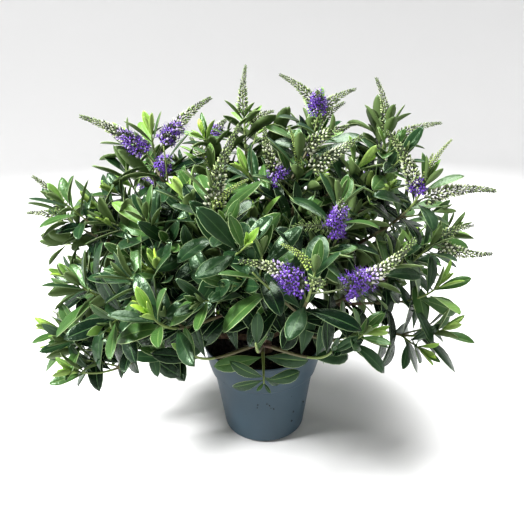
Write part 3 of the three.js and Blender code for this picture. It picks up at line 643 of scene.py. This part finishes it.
class Foliage:
    """Everything the sprays grow: rows for leaves, buds and flowers, and heaps for twigs and racemes.
    stalks holds lines of points and how far leaves keep from them."""

    def __init__(self):
        self.leaves, self.buds, self.flowers, self.stalks = [], [], [], []
        self.twigs, self.racemes = Heap(), Heap()

    def add_leaf(self, spray, node, along, outward, size, spread, drop, growing, keys):
        """A leaf at a node, if there is room. Its face turns to the light, outward and up."""
        hangs = spray.get("hangs")
        ahead = turned_by(math.radians(spread), along, outward)
        sag = HOLD.sag * chance(*keys, 8) if spray["low"] and drop > HOLD.sag_drop else 0
        ahead[2] += (HOLD.lift - sag) * min(1, drop / HOLD.lift_drop)
        ahead = unit(ahead)
        face = unit(along - ahead * np.dot(along, ahead))
        light = direction(spray["at"][0], HANGING.light_rise if hangs else HOLD.light_rise)
        if spray["low"]:
            light = light + HOLD.low_front * FRONT
        to_light = HOLD.to_light * min(1, HOLD.least_light + drop / HOLD.light_drop)
        face = face + light * (HANGING.to_light if hangs else to_light)
        face = unit(face - ahead * np.dot(face, ahead))
        length = LEAF.length * size * (1 + swing(FORM_STRAY.length, *keys, 1))
        width = LEAF.width * length / LEAF.length * (1 + swing(FORM_STRAY.width, *keys, 2))
        middle = node + ahead * length * LEAF_MIDDLE
        end = node + ahead * length * LEAF_END - UP * length * END_DROOP
        if not (clear_of_pot(middle, spray) and clear_of_pot(end, spray, UNDERSIDE.leaf_hang)):
            return
        young = 0 if hangs else max(0.0, 1 - drop / HOLD.young_drop)
        width = width * (1 - FORM.young_narrowing * young)
        bend = (FORM.bend + swing(FORM_STRAY.bend, *keys, 3)) * (1 - young) + FORM.young_bend * young
        fold = FORM.fold + FORM.young_fold * young + swing(FORM_STRAY.fold, *keys, 4)
        skew, roll = swing(FORM_STRAY.skew, *keys, 5), swing(FORM_STRAY.roll, *keys, 6) * (1 - young)
        tint = leaf_tint(spray, node, drop if growing else drop + GROWN_DROP, chance(*keys, 7))
        self.leaves.append((node, ahead, face, length, width, bend, fold, skew, roll, tint))

    def add_bud(self, root, way, spin, length, radius, slot):
        self.buds.append((root, turned_to(way, spin), (length, radius, radius), (CALYX, slot)))


def clear_of_racemes(row, stalks):
    """Whether the leaf's middle and outer parts keep their distance from every stalk in bud or flower."""
    root, ahead, _, length = row[:4]
    spots = root + ahead * length * LEAF_SPOTS
    return all(np.linalg.norm(line[:, None] - spots, axis=2).min() >= room for line, room in stalks)


def leaf_tint(spray, root, drop, shade):
    """Slots of a leaf's margin, blade, midrib and back. A tip's leaves are yellow-green. Further down the
    shoot they darken, further into the crown they darken as painted shade, and shade is chance."""
    if spray.get("hangs"):
        return EDGE, (GREEN if shade < HANGING.green else DEEP), RIB, BACK
    if drop < YOUNGEST_DROP:
        return RIB_YOUNG, (YOUNGEST if shade < YOUNGEST_CHANCE else YOUNG), RIB_YOUNG, BACK_YOUNG
    if drop < YOUNG_DROP:
        return EDGE_YOUNG, (YOUNG if shade < YOUNG_CHANCE else FRESH), RIB_YOUNG, BACK_YOUNG
    # Darker the further a leaf lies into the crown: painted shade.
    depth = 1 - min(1, np.linalg.norm(root - CROWN_FOOT) / (spray["at"][2] + TONE.past_tip))
    # A spray's own darkening from the table is painted shade as well, and a lightening below zero is painted
    # light.
    tone = TONE.depth * depth + TONE.chance * shade + TONE.drop * drop + spray.get("painted_shade", 0)
    blade = next((slot for step, slot in TONE_STEPS if tone < step), DARKEST)
    return (EDGE, blade, RIB, BACK) if blade < DEEP else (EDGE_DARK, blade, RIB_DARK, BACK)


# ---------- racemes

BUD_PROFILE = ((0, 0), (0.6, 0.2), (1, 0.52), (0.66, 0.82), (0, 1))  # (share of radius, share of length)
BUD_SIDES = 5
OCTAHEDRON_FACES = np.array([
    (0, 2, 4), (0, 4, 3), (0, 3, 5), (0, 5, 2), (1, 4, 2), (1, 3, 4), (1, 5, 3), (1, 2, 5),
])
TUBE_PART, ANTHER_PART = 2, 3  # parts 0 and 1 are petals


def bud_template():
    """A pointed bud along X, 1 long and 1 in radius: BUD_PROFILE turned about X. Part 0 is its calyx, the
    lower half, and part 1 the rest."""
    points, groups = turned(BUD_PROFILE, BUD_SIDES)
    half = len(groups) // 2
    groups = [(faces, np.full(len(faces), int(j >= half))) for j, faces in enumerate(groups)]
    return points[:, [2, 0, 1]], groups


def lobe(root, tip, side, over):
    """Six points of a flat lobe from root to tip, with side and over as its half width and thickness."""
    middle = mix(root, tip, 0.6)
    return [tip, root, middle + side, middle - side, middle + over, middle - over]


def flower_template():
    """An open flower along X, 1 in radius: a tube, four spread lobes and two long stamens. Each is six
    points joined as an octahedron."""
    ahead, y, z = np.eye(3)
    mouth, width = ahead * 0.5, 0.24
    tube_points = [ahead * 0.42, ahead * 0, *[mouth + way * width for way in (y, -y, z, -z)]]
    shapes = [(tube_points, TUBE_PART)]
    for i in range(4):
        angle = math.pi / 4 + i * math.pi / 2
        out, across = turned_by(angle, y, z), turned_by(angle, z, -y)
        root, tip = out * 0.12 + ahead * 0.42, out * (1.0 if i else 0.85) + ahead * 0.8
        shapes.append((lobe(root, tip, across * 0.32, ahead * 0.07), (i + 1) % 2))
    for angle in (0.9, 2.3):
        out, across = turned_by(angle, y, z), turned_by(angle, z, -y)
        tip = out * 0.75 + ahead * 1.8
        shapes.append((lobe(ahead * 0.4, tip, across * -0.045, out * 0.045), 1))
        shapes.append((lobe(tip - out * 0.12, tip + out * 0.16, across * 0.09, ahead * 0.09), ANTHER_PART))
    points = np.concatenate([corners for corners, _ in shapes])
    faces = OCTAHEDRON_FACES + 6 * np.arange(len(shapes))[:, None, None]
    parts = np.repeat([part for _, part in shapes], len(OCTAHEDRON_FACES))
    return points, [(faces.reshape(-1, 3), parts)]


def add_small_shapes(heap, template, rows):
    """Copies of a template, each turned to its own three axes, scaled along them and moved to its root.
    A row is (root, axes, size, the slots of its parts)."""
    points, groups = template
    roots, axes, sizes, tints = (np.array(column) for column in zip(*rows))
    copies = roots[:, None] + np.einsum("npk,nkc->npc", points * sizes[:, None], axes)
    heap.add_copies(copies, tints, groups)


def keep_leaves_off(foliage, line, bloom):
    """Leaves keep off a raceme, and off the view of it where it is in flower."""
    room = FLOWER_ROOM if bloom > BLOOM.full else 2 * BUD_ROOM if bloom > BLOOM.seen else BUD_ROOM
    foliage.stalks.append((line[1:], room))
    if BLOOM.seen < bloom < SPENT:
        outer = line[len(line) // 4:]
        toward = np.array([unit(VIEWER - point) for point in outer])
        foliage.stalks += [(outer + toward * shift, room) for shift in FLOWER_VIEW]


def flower_tints(stage, pick):
    if stage > STAGE_STEPS.fresh:
        return LILAC, VIOLET, BUD_LILAC, ANTHER
    return (VIOLET, PURPLE, LILAC, ANTHER) if pick < FLOWER.violet else (PURPLE, VIOLET, LILAC, ANTHER)


def closed_bud(bloom, opening, stage, share):
    """The kind of a closed bud: lilac next to the flowers, then white or pale, then small and green."""
    if opening and stage < STAGE_STEPS.open:
        return BUDS["half_open"]
    if opening and stage < STAGE_STEPS.colouring:
        return BUDS["colouring"]
    if bloom == NARROW:
        return BUDS["narrow"]
    if share < LARGE_BUDS + MORE_LARGE_BUDS * (bloom > BLOOM.white):
        return BUDS["white" if bloom > BLOOM.closed else "pale"]
    return BUDS["small" if share < SMALL_BUDS else "tip"]


def grow_raceme(foliage, start, key, heading, rise, length, bloom, sway=RACEME.sway, foot=RACEME.foot):
    """A stalk with buds round it in a spiral. They open from the base up: flowers up to bloom, then
    lilac buds, white buds and, towards the tip, small green ones."""
    away = direction(heading, rise)
    first = unit(away + direction(heading, rise + RACEME.sway_rise) * sway)
    curve = quadratic_curve(start, start + first * length * 0.5, start + away * length)
    line = curve.between(0, curve.length, RACEME.spacing)
    keep_leaves_off(foliage, line, bloom)
    foliage.racemes.add_tube(line, np.linspace(*RACEME.radii, len(line)), RACEME.sides, STALK_SLOT)
    opened = bloom * RACEME.opened
    opening = opened > STAGE_STEPS.least_opened
    fullness = NARROW_SWELL if bloom == NARROW else 1 if bloom > BLOOM.closed else CLOSED_SWELL
    count = int(length * (1 - foot) * RACEME.buds_per_mm)
    for i in range(count):
        share = (i + 0.5) / count
        root, along, side, up = frame_at(curve, curve.length * mix(foot, 1, share), 0)
        angle = i * GOLDEN_ANGLE + key
        lean = RACEME.lean - RACEME.lean_fall * share + swing(RACEME.lean_stray, key, i, 2)
        way = unit(turned_by(math.radians(lean), along, turned_by(angle, side, up)))
        stage = share - opened + swing(RACEME.stage_stray, key, i, 1)
        taper = 1 - RACEME.taper * share
        pick = chance(key, i, 5)
        if bloom == SPENT:
            reach = SPENT_BUD.reach * taper * (SPENT_BUD.least + SPENT_BUD.stray * chance(key, i, 3))
            foliage.add_bud(root, way, 0, reach, SPENT_BUD.radius, BUD_GREEN)
        elif opening and stage < STAGE_STEPS.open and pick > FLOWER.dealt:
            reach = FLOWER.reach * (1 - FLOWER.reach_fall * share) + swing(FLOWER.reach_stray, key, i, 3)
            size = FLOWER.size * (1 - FLOWER.size_fall * share) * (1 + swing(FLOWER.size_stray, key, i, 4))
            middle, axes = root + way * reach * FLOWER.stand, turned_to(way, angle)
            foliage.flowers.append((middle, axes, (size, size, size), flower_tints(stage, pick)))
            foliage.add_bud(root, way, 0, reach, FLOWER.tube, CALYX)
        else:
            colours, long, wide = closed_bud(bloom, opening, stage, share)
            swell = fullness * taper
            slot = next(slot for slot, limit in colours if chance(key, i, 7) <= limit)
            foliage.add_bud(root + way * RACEME.stand * swell, way, angle, long * swell, wide * swell, slot)


# ---------- skeleton

CROWN_FOOT = UP * SOIL_TOP
STEM_FOOT = UP * (SOIL_TOP + GAP)
STEM_HEAD = np.array([STEM.lean, 0.0, SOIL_TOP + GAP + STEM.height])


def tip_of(spray):
    heading, rise, reach = spray["at"][:3]
    return CROWN_FOOT + direction(heading, rise) * reach


def grow_bough(number, name, level, sprays):
    """A bough from its seat on the stem to the tip of its first spray."""
    seat, stub, rise_share, fixed_rise, turn_up = LEVELS[level]
    heading, rise = sprays[0]["at"][:2]
    start = mix(STEM_FOOT, STEM_HEAD, (seat - GAP) / STEM.height)
    end_way = direction(heading, min(rise + turn_up, STEEPEST))
    curve = limb_curve(start, direction(heading, rise * rise_share + fixed_rise), tip_of(sprays[0]), end_way)
    bare, low = curve.length * BARE_SHARE, level == "low"
    return dict(number=number, name=name, curve=curve, stub=stub, bare=bare, sprays=sprays, low=low)


def bough_radius(bough, distance):
    """An even taper from the root to the end of the bare part."""
    return mix(BOUGH_ROOT, BOUGH_TIP, distance / bough["bare"])


def grow_spray(bough, spray, index):
    """Adds the leading shoot's curve, base, where its twig starts on it, and start, where its leafy part
    does. The first spray goes on from the bough, and the others leave its side."""
    spray["name"] = f"{bough['name']}_spray_{index + 1}"
    spray["key"] = bough["number"] * 10 + index + 0.371 * spray.get("draw", 0)
    spray["low"] = bough["low"]
    if index == 0:
        spray.update(curve=bough["curve"], start=bough["bare"], base=bough["bare"] - 4)
        return spray
    heading, rise, _, seat = spray["at"]
    distance = mix(bough["stub"], bough["bare"] - FORK.end_room, seat)
    start, end = bough["curve"].at(distance), tip_of(spray)
    along = bough["curve"].along(distance)
    start_way = unit(unit(end - start) * FORK.towards_tip + along * FORK.along_bough)
    end_way = direction(heading, min(rise + spray.get("turn_up", FORK.turn_up), STEEPEST))
    curve = limb_curve(start, start_way, end, end_way)
    angle = math.acos(np.clip(np.dot(curve.along(0), along), -1, 1))
    stub = (bough_radius(bough, distance) + TWIG_ROOT + FORK.cover) / math.sin(max(angle, FORK.least_angle))
    spray.update(curve=curve, start=stub, base=0)
    return spray


def add_twig(foliage, curve, start, kind, key):
    """A shoot's stem, to its tip. It is brown far below the tip, then olive, then green, and a little
    thicker at each knot."""
    line = curve.between(start, curve.length, TWIG.spacing)
    count = len(line)
    radii = np.linspace(kind.root, kind.tip, count) * (1 + TWIG.knots * chance(key, np.arange(count), 8))
    run = np.linspace(start, curve.length, count)
    from_tip = curve.length - (run[:-1] + run[1:]) / 2
    olive = from_tip > kind.brown_below * TWIG.olive_share
    slots = np.where(from_tip > kind.brown_below, TWIG_BROWN, np.where(olive, TWIG_OLIVE, TWIG_GREEN))
    foliage.twigs.add_tube(line, radii, kind.sides, slots)


def add_pairs(foliage, spray, curve, start, key, twist, share, last=LEAFY_DROP):
    """Opposite pairs of leaves down to last mm below the tip, each turned a quarter from the one above."""
    growing = chance(key, 41) < YOUNG_TIPS or (spray.get("young_tip") and key == spray["key"])
    for pair, (drop, size, spread, turn) in enumerate(HANGING_PAIRS if spray.get("hangs") else PAIRS):
        if drop > min(curve.length - start - BARE_ROOT, last):
            break
        distance = curve.length - drop - swing(min(STRAY.node, drop * STRAY.node_share), key, pair)
        node, along, side, up = frame_at(curve, distance, twist)
        turn = math.radians(turn) + swing(STRAY.turn, key, pair, 1)
        splay = spray.get("splay", 0) * max(0, 1 - drop / HOLD.splay_drop)
        for half in (0, 1):
            outward = turned_by(turn + math.pi * half, side, up)
            stray = swing(STRAY.spread, key, pair, half, 2) + splay
            foliage.add_leaf(spray, node, along, outward, size * share, spread + stray, drop, growing,
                             (key, pair, half))


def add_side_shoot(foliage, spray, drop, length, spread, way, key, share):
    """A shoot from a leaf axil: it leaves the leading shoot at spread degrees and curls a little with it."""
    parent, twist = spray["curve"], swing(STRAY.twist, spray["key"], 9)
    start, along, side, _ = frame_at(parent, parent.length - drop, twist)
    spread = math.radians(spread + swing(STRAY.shoot_spread, key, 5))
    away = turned_by(spread, along, side * way)
    length = length * (1 + swing(STRAY.shoot, key, 6))
    end = start + (away + along * SHOOT_CURL) * length
    if not (clear_of_pot(end, spray) and clear_of_pot((start + end) / 2, spray)):
        return
    curve = quadratic_curve(start, start + away * length * 0.5, end)
    add_twig(foliage, curve, 0, SIDE_TWIG, key)
    add_pairs(foliage, spray, curve, 0, key, swing(STRAY.twist, key, 9), share)


def grow_foliage(foliage, spray):
    """A leading shoot with its leaves, its side shoots and its racemes."""
    curve, key = spray["curve"], spray["key"]
    is_open, hangs = spray.get("open"), spray.get("hangs")
    share = spray.get("leaf_share", 1) * (1 + swing(STRAY.size, key, 31))
    twist = 0 if hangs else swing(STRAY.twist, key, 9)
    add_twig(foliage, curve, spray["base"], LEADER, key)
    leafy_drop = OPEN_LEAFY_DROP if is_open else LEAFY_DROP
    add_pairs(foliage, spray, curve, spray["start"], key, twist, share, leafy_drop)
    room = curve.length - spray["start"] - BARE_ROOT
    sides = () if hangs else spray.get("sides", (1, -1))
    for way in sides:
        if SIDE_SHOOT[0] < room and not is_open:
            add_side_shoot(foliage, spray, *SIDE_SHOOT, way, key * 10 + way + 1, share)
    for number, (*shoot, odds) in enumerate(FINE_SHOOTS):
        for way in sides:
            if shoot[0] <= room and not (is_open and number) and chance(key, number, way, 4) < odds:
                fine_key = key * 100 + number * 10 + way
                add_side_shoot(foliage, spray, *shoot, way, fine_key, share * FINE_LEAVES)
    for number, (drop, *raceme) in enumerate(spray.get("racemes", [])):
        grow_raceme(foliage, curve.at(curve.length - drop), key * 7 + number, *raceme)


def build_foliage(boughs):
    """All leaves, in pieces of even size, with the racemes, the flowers and the twigs."""
    foliage = Foliage()
    names = []
    for bough in boughs:
        for index, spray in enumerate(bough["sprays"]):
            grow_foliage(foliage, grow_spray(bough, spray, index))
            names.append(spray["name"])
    leaves = [row for row in foliage.leaves if clear_of_racemes(row, foliage.stalks)]
    grain = dict(scale=170, strength=0.8, distance=0.001)
    leaf_materials = plain_materials(LEAF_SLOTS, **grain, Specular_IOR_Level=0.3, Specular_Tint=LEAF_SHEEN)
    share = math.ceil(len(leaves) / LEAF_PIECES)
    pieces = []
    for number in range(LEAF_PIECES):
        rows = leaves[number * share:(number + 1) * share]
        heap = Heap()
        points, tints = leaf_points([row[:-1] for row in rows]), np.array([row[-1] for row in rows])
        heap.add_copies(points, tints, leaf_groups())
        pieces.append(heap.mesh(f"leaves_{number + 1}", leaf_materials))
    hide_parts(*names)
    flower_materials = plain_materials(FLOWER_SLOTS, scale=900, strength=0.3)
    flowers = Heap()
    add_small_shapes(foliage.racemes, bud_template(), foliage.buds)
    add_small_shapes(flowers, flower_template(), foliage.flowers)
    pieces.append(foliage.racemes.mesh("raceme_buds", flower_materials))
    pieces.append(flowers.mesh("open_flowers", flower_materials))
    twig_materials = plain_materials(TWIG_SLOTS, scale=500, strength=0.5)
    pieces.append(foliage.twigs.mesh("twigs", twig_materials))
    return [(piece, "foliage") for piece in pieces]


# ---------- wood

STEM_BARK = Values(rings=16, sides=28, key=3, depth=0.06)
BOUGH_BARK = Values(spacing=3, sides=16, depth=0.07)


def add_bark(heap, line, radii, sides, key, depth):
    """A tube whose radius is multiplied by 1 + depth (0.35 ridges + 0.7 grain + 0.8 rings): low ridges that
    run along it, five and nine of them round, chance grain, and rings at every seventh step, where
    leaves once sat."""
    angles, ring, _ = ring_steps(sides)
    rows = np.arange(len(line))[:, None]
    ridges = np.sin(angles * 5 + key + 0.5 * np.sin(rows * 0.23))
    ridges = ridges + 0.6 * np.sin(angles * 9 - rows * 0.11 + key)
    grain = chance(key, rows, ring, 3) - 0.5
    rings = np.exp(-(((rows % 7) - 3) ** 2) / 0.8)
    relief = 1 + depth * (0.35 * ridges + 0.7 * grain + 0.8 * rings)
    heap.add_tube(line, radii, sides, relief=relief)


def bark_material():
    bark, shader = principled("bark_brown", (104, 82, 64), 0.82)
    stops = (0.3, (62, 46, 37)), (0.5, (108, 84, 66)), (0.72, (150, 128, 104))
    tinted(shader, noise(shader, scale=190, detail=5, stretch=(1, 1, 0.35)), *stops)
    bump(shader, noise(shader, scale=420, detail=5, stretch=(1, 1, 0.3)), strength=0.7, distance=0.0012)
    return bark


def build_wood(boughs):
    """The main stem, whose radius runs evenly from waist to head and widens to its foot by
    1 - sqrt(height/flare height), and the bare parts of the boughs."""
    bark = bark_material()
    stem, limbs = Heap(), Heap()
    heights = np.linspace(0, STEM.height, STEM_BARK.rings)
    line = mix(STEM_FOOT, STEM_HEAD, (heights / STEM.height)[:, None])
    line[0, 2] -= GAP
    flare = 1 - np.sqrt(np.minimum(1, heights / STEM.flare_height))
    radii = mix(STEM.waist, STEM.head, heights / STEM.height) + (STEM.foot - STEM.waist) * flare
    add_bark(stem, line, radii, STEM_BARK.sides, STEM_BARK.key, STEM_BARK.depth)
    for bough in boughs:
        line = bough["curve"].between(0, bough["bare"], BOUGH_BARK.spacing)
        radii = bough_radius(bough, np.linspace(0, bough["bare"], len(line)))
        add_bark(limbs, line, radii, BOUGH_BARK.sides, bough["number"], BOUGH_BARK.depth)
    stem_piece, limb_piece = stem.mesh("main_stem_bark", [bark]), limbs.mesh("bough_bark", [bark])
    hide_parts("main_stem")
    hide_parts(*[f"bough_{bough['name']}" for bough in boughs])
    return [(stem_piece, "bark"), (limb_piece, "bark")]


# ---------- pot and soil

POT_FINISH = Values(foot_step=10.1, foot_steps=9, wall_foot=8.6, wall_shares=(0.25, 0.5, 0.75, 0.97),
                    shoulder_steps=7, collar_steps=10, bulge=1.2, lip_step=1, lip_under=0.5, bevel=0.4,
                    inner_foot=(3, 5), crease=38)
SOIL = Values(sag=2.5, sag_power=0.6, edge=78.6, clearance=0.4, shoulder=(92, 97.5), rings=22, sides=64,
              wave=1.1, grain=0.7, sunk=0.9)
CRUMBS = Values(count=1500, spread=77, jitter=0.8, least=0.8, range=1.9, dark=0.5, brown=0.88)
# Crumbs of soil that stuck to the pot when it was filled: (angle, height, size).
STUCK_CRUMBS = (
    (262.5, 72.5, 1.7), (262, 67, 1.3), (273, 74, 1.2), (276, 71, 1.6), (281, 64, 1.9), (278, 66, 1.0),
    (309, 48, 2.0), (328, 54, 2.2), (308, 32, 1.8), (242, 99, 0.9), (224, 99, 0.8), (303, 79, 0.8),
    (268, 97, 0.7), (247, 52, 0.7), (80, 60, 1.6), (96, 48, 1.2), (140, 70, 1.4), (200, 52, 1.2),
    (20, 58, 1.5),
)
STUCK_KEY = 70  # the crumbs' own draws start here
SOIL_SLOTS = [
    ("peat_dark", (17, 14, 12), 0.95),
    ("peat_brown", (32, 25, 20), 0.95),
    ("peat_fibre", (66, 52, 38), 0.9),
]


def pot_profile():
    """The pot's closed outline (radius, height), from the middle of its underside round the outside,
    over the rim and down the inside. The foot and the edge of the rim are arcs, the shoulder follows
    3 t^2 - 2 t^3, and the collar bulges by 1.2 sin(pi t) over its height."""
    shape = POT_FINISH
    lip_foot, rim_foot = POT.height - POT.lip_height, POT.height - POT.edge
    collar_foot, collar_top = POT.height - POT.collar, POT.rim - POT.lip_flare
    shoulder_foot = collar_foot - POT.shoulder
    outer = [(0, 0)]
    for turn in np.radians(np.arange(shape.foot_steps) * shape.foot_step):
        radius = POT.base - POT.foot_round * (1 - math.sin(turn))
        outer.append((radius, POT.foot_round * (1 - math.cos(turn))))
    for t in shape.wall_shares:
        outer.append((mix(POT.base, POT.body_top, t), mix(shape.wall_foot, shoulder_foot, t)))
    for t in np.linspace(0, 1, shape.shoulder_steps):
        radius = mix(POT.body_top, POT.collar_foot, t * t * (3 - 2 * t))
        outer.append((radius, mix(shoulder_foot, collar_foot, t)))
    for t in np.linspace(1 / shape.collar_steps, 1, shape.collar_steps):
        radius = mix(POT.collar_foot, collar_top, t) + shape.bulge * math.sin(math.pi * t)
        outer.append((radius, mix(collar_foot, lip_foot - shape.lip_step, t)))
    outer += [(POT.rim - shape.lip_under, lip_foot - shape.bevel), (POT.rim, lip_foot + shape.bevel)]
    outer.append((POT.rim, rim_foot))
    for turn in np.radians((30, 60, 90)):
        radius = POT.rim - POT.edge * (1 - math.cos(turn))
        outer.append((radius, rim_foot + POT.edge * math.sin(turn)))
    rim, base = POT.rim - POT.wall, POT.base - POT.wall
    body, collar = POT.body_top - POT.wall, POT.collar_foot - POT.wall
    step, rise = shape.inner_foot
    inner = [(rim + shape.bevel, POT.height), (rim, POT.height - shape.bevel)]
    inner += [(collar_top - POT.wall, lip_foot), (collar, collar_foot), (body, shoulder_foot)]
    inner += [(base, POT.floor + rise), (base - step, POT.floor), (0, POT.floor)]
    return outer, inner


def pot_materials():
    outside, shader = principled("pot_blue_grey", (48, 66, 77), 0.5, Specular_IOR_Level=0.3)
    stops = (0.3, (43, 60, 71)), (0.55, (48, 66, 77)), (0.75, (54, 73, 84))
    tinted(shader, noise(shader, scale=9, detail=4, stretch=(1, 1, 0.6)), *stops)
    bump(shader, noise(shader, scale=900), strength=0.12, distance=0.0003)
    inside, shader = principled("pot_inside_dark", (20, 22, 25), 0.6)
    bump(shader, noise(shader, scale=700), strength=0.15, distance=0.0003)
    return [outside, inside]


def drain_drills():
    """Upright rods through the pot's floor, evenly spaced on a circle."""
    drills = Heap()
    for angle in 45 + np.arange(DRAIN.count) * 360 / DRAIN.count:
        middle = direction(angle, 0) * DRAIN.circle
        ends = np.array([middle - UP * DRAIN.drill, middle + UP * DRAIN.drill])
        drills.add_tube(ends, DRAIN.radius, DRAIN.sides)
    return drills.mesh("drill", [])


def build_pot():
    outer, inner = pot_profile()
    points, groups = turned(outer + inner, POT.sides)
    heap = Heap()
    heap.add_turned(points, groups, np.arange(len(groups)) >= len(outer))
    pot = heap.mesh("nursery_pot", pot_materials())
    drill = drain_drills()
    cut = pot.modifiers.new("drain_holes", "BOOLEAN")
    cut.operation, cut.solver, cut.object = "DIFFERENCE", "EXACT", drill
    bpy.context.view_layer.update()
    drilled = bpy.data.meshes.new_from_object(pot.evaluated_get(bpy.context.evaluated_depsgraph_get()))
    pot.modifiers.clear()
    pot.data = drilled
    bpy.data.objects.remove(drill)
    drilled.polygons.foreach_set("use_smooth", np.ones(len(drilled.polygons), bool))
    drilled.set_sharp_from_angle(angle=math.radians(POT_FINISH.crease))
    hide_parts("pot")
    return [(pot, "pot_plastic")]


def soil_height(radius):
    """The soil's top falls away from its middle by sag (radius/edge)^0.6."""
    return SOIL_TOP - SOIL.sag * (radius / SOIL.edge) ** SOIL.sag_power


def soil_body():
    """The lump of soil: turned from its outline, its top heaved by 1.1 sin(0.21 x + 1.3) sin(0.17 y) and by
    a chance grain, both in mm."""
    room = POT.wall + SOIL.clearance
    base, body, collar = POT.base - room, POT.body_top - room, POT.collar_foot - room
    floor = POT.floor + GAP
    step, rise = POT_FINISH.inner_foot
    body_height, collar_height = SOIL.shoulder
    side = [(0, floor), (base - step, floor), (base, POT.floor + rise)]
    side += [(body, body_height), (collar, collar_height)]
    radii = SOIL.edge * (1 - np.arange(SOIL.rings) / SOIL.rings)
    points, groups = turned([*side, *zip(radii, soil_height(radii)), (0, SOIL_TOP)], SOIL.sides)
    on_top = points[:, 2] > SOIL_TOP - SOIL.sag - 0.1
    x, y = points[on_top, 0], points[on_top, 1]
    waves = SOIL.wave * np.sin(x * 0.21 + 1.3) * np.sin(y * 0.17)
    points[on_top, 2] += waves + swing(SOIL.grain, np.trunc(x * 3), np.trunc(y * 3)) - SOIL.sunk
    return points, groups


def add_crumb(heap, middle, size, key, slot=0):
    """An uneven eight-sided grain, each corner at a chance distance from its middle."""
    turn = turned_to(unit(np.array([swing(1, key, 1), swing(1, key, 2), swing(1, key, 3)])), key)
    axes, ways = np.array([0, 0, 1, 1, 2, 2]), np.array([1, -1, 1, -1, 1, -1])
    reach = ways * size * (0.6 + 0.6 * chance(key, axes, ways, 9))
    heap.add(middle + turn[axes] * reach[:, None], (OCTAHEDRON_FACES, slot))


def wall_point(angle, height):
    """The point of the pot's outside at an angle round it, at a height above its rounded foot."""
    radii, heights = np.array([spot for spot in pot_profile()[0] if spot[1] > POT.foot_round]).T
    return direction(angle, 0) * np.interp(height, heights, radii) + UP * height


def build_soil():
    materials = plain_materials(SOIL_SLOTS, scale=900, strength=0.9)
    heap, specks = Heap(), Heap()
    heap.add_turned(*soil_body())
    for i in range(CRUMBS.count):
        angle, radius = chance(i, 11) * 2 * math.pi, CRUMBS.spread * math.sqrt(chance(i, 12))
        height = soil_height(radius) + swing(CRUMBS.jitter, i, 13)
        size = CRUMBS.least + CRUMBS.range * chance(i, 14) ** 3
        colour = chance(i, 15)
        slot = 0 if colour < CRUMBS.dark else 1 if colour < CRUMBS.brown else 2
        middle = np.array([radius * math.cos(angle), radius * math.sin(angle), height])
        add_crumb(heap, middle, size, i, slot)
    for i, (angle, height, size) in enumerate(STUCK_CRUMBS):
        add_crumb(specks, wall_point(angle, height), size, i + STUCK_KEY)
    soil = heap.mesh("peat_soil", materials, sharp=True)
    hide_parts("soil")
    return [(soil, "potting_soil"), (specks.mesh("stuck_crumbs", materials[:1], sharp=True), "potting_soil")]


# ---------- the whole shrub

boughs = [grow_bough(number, *row) for number, row in enumerate(BOUGHS)]
for piece, slot in build_pot() + build_soil() + build_wood(boughs) + build_foliage(boughs):
    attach(piece, "root")

# ---------- studio, in metres from here on

STAGE = Values(flat=2.4, bend=1.0, wall=3.0, sides=96, shade=0.66)
CAMERA = Values(place=(0, -0.695, 0.515), pitch=20.4, roll=-0.9, sensor=36, focal=540 / 524)
AIM = np.array([0, 0, 0.2])


def build_stage():
    """A pale round floor that turns up into a wall all round, through a quarter of a circle."""
    flat, bend = STAGE.flat, STAGE.bend
    turns = np.linspace(0.1, math.pi / 2, 12)
    profile = [(0.0, 0.0), (flat * 0.3, 0.0), (flat, 0.0)]
    profile += [(flat + bend * math.sin(a), bend * (1 - math.cos(a))) for a in turns]
    profile += [(flat + bend, STAGE.wall)]
    points, groups = turned(profile, STAGE.sides)
    heap = Heap()
    heap.add_turned(points / MM, groups)
    material, _ = shaded_material("studio_white", Base_Color=(*[STAGE.shade] * 3, 1), Roughness=0.9)
    heap.mesh("studio_floor", [material])


def set_up(name, data, place, right, up):
    """A lamp or camera at a place, which looks along up x right."""
    rows = [[*axes, spot] for *axes, spot in zip(right, up, np.cross(right, up), place)]
    thing = bpy.data.objects.new(name, data)
    thing.matrix_world = Matrix(rows + [[0, 0, 0, 1]])
    bpy.context.scene.collection.objects.link(thing)
    return thing


def add_light(name, place, size, power):
    """A square lamp that looks at AIM."""
    light = bpy.data.lights.new(name, "AREA")
    light.shape, light.size, light.size_y = "RECTANGLE", size, size
    light.energy = power
    back = unit(np.array(place) - AIM)
    right = unit(np.cross(UP, back))
    set_up(name, light, place, right, np.cross(back, right))


def add_camera():
    """Seen from the front, 0.515 m up and 0.695 m away, looking 20.4 degrees down, rolled by 0.9."""
    pitch, roll = math.radians(CAMERA.pitch), math.radians(CAMERA.roll)
    level, rise = np.array([1.0, 0, 0]), np.array([0, math.sin(pitch), math.cos(pitch)])
    data = bpy.data.cameras.new("camera")
    data.sensor_width = CAMERA.sensor
    data.lens = CAMERA.sensor * CAMERA.focal
    right, up = turned_by(roll, level, rise), turned_by(roll, rise, -level)
    bpy.context.scene.camera = set_up("camera", data, CAMERA.place, right, up)


world = bpy.data.worlds.new("studio")
world.use_nodes = True
set_inputs(world.node_tree.nodes["Background"], Color=(1, 1, 1, 1), Strength=0.04)
bpy.context.scene.world = world
bpy.context.scene.view_settings.view_transform = "Standard"
build_stage()
add_light("overhead", (0.3, 0.4, 1.9), size=1.3, power=110)
add_light("key_left", (-1.8, -0.6, 1.5), size=0.45, power=146)
add_camera()
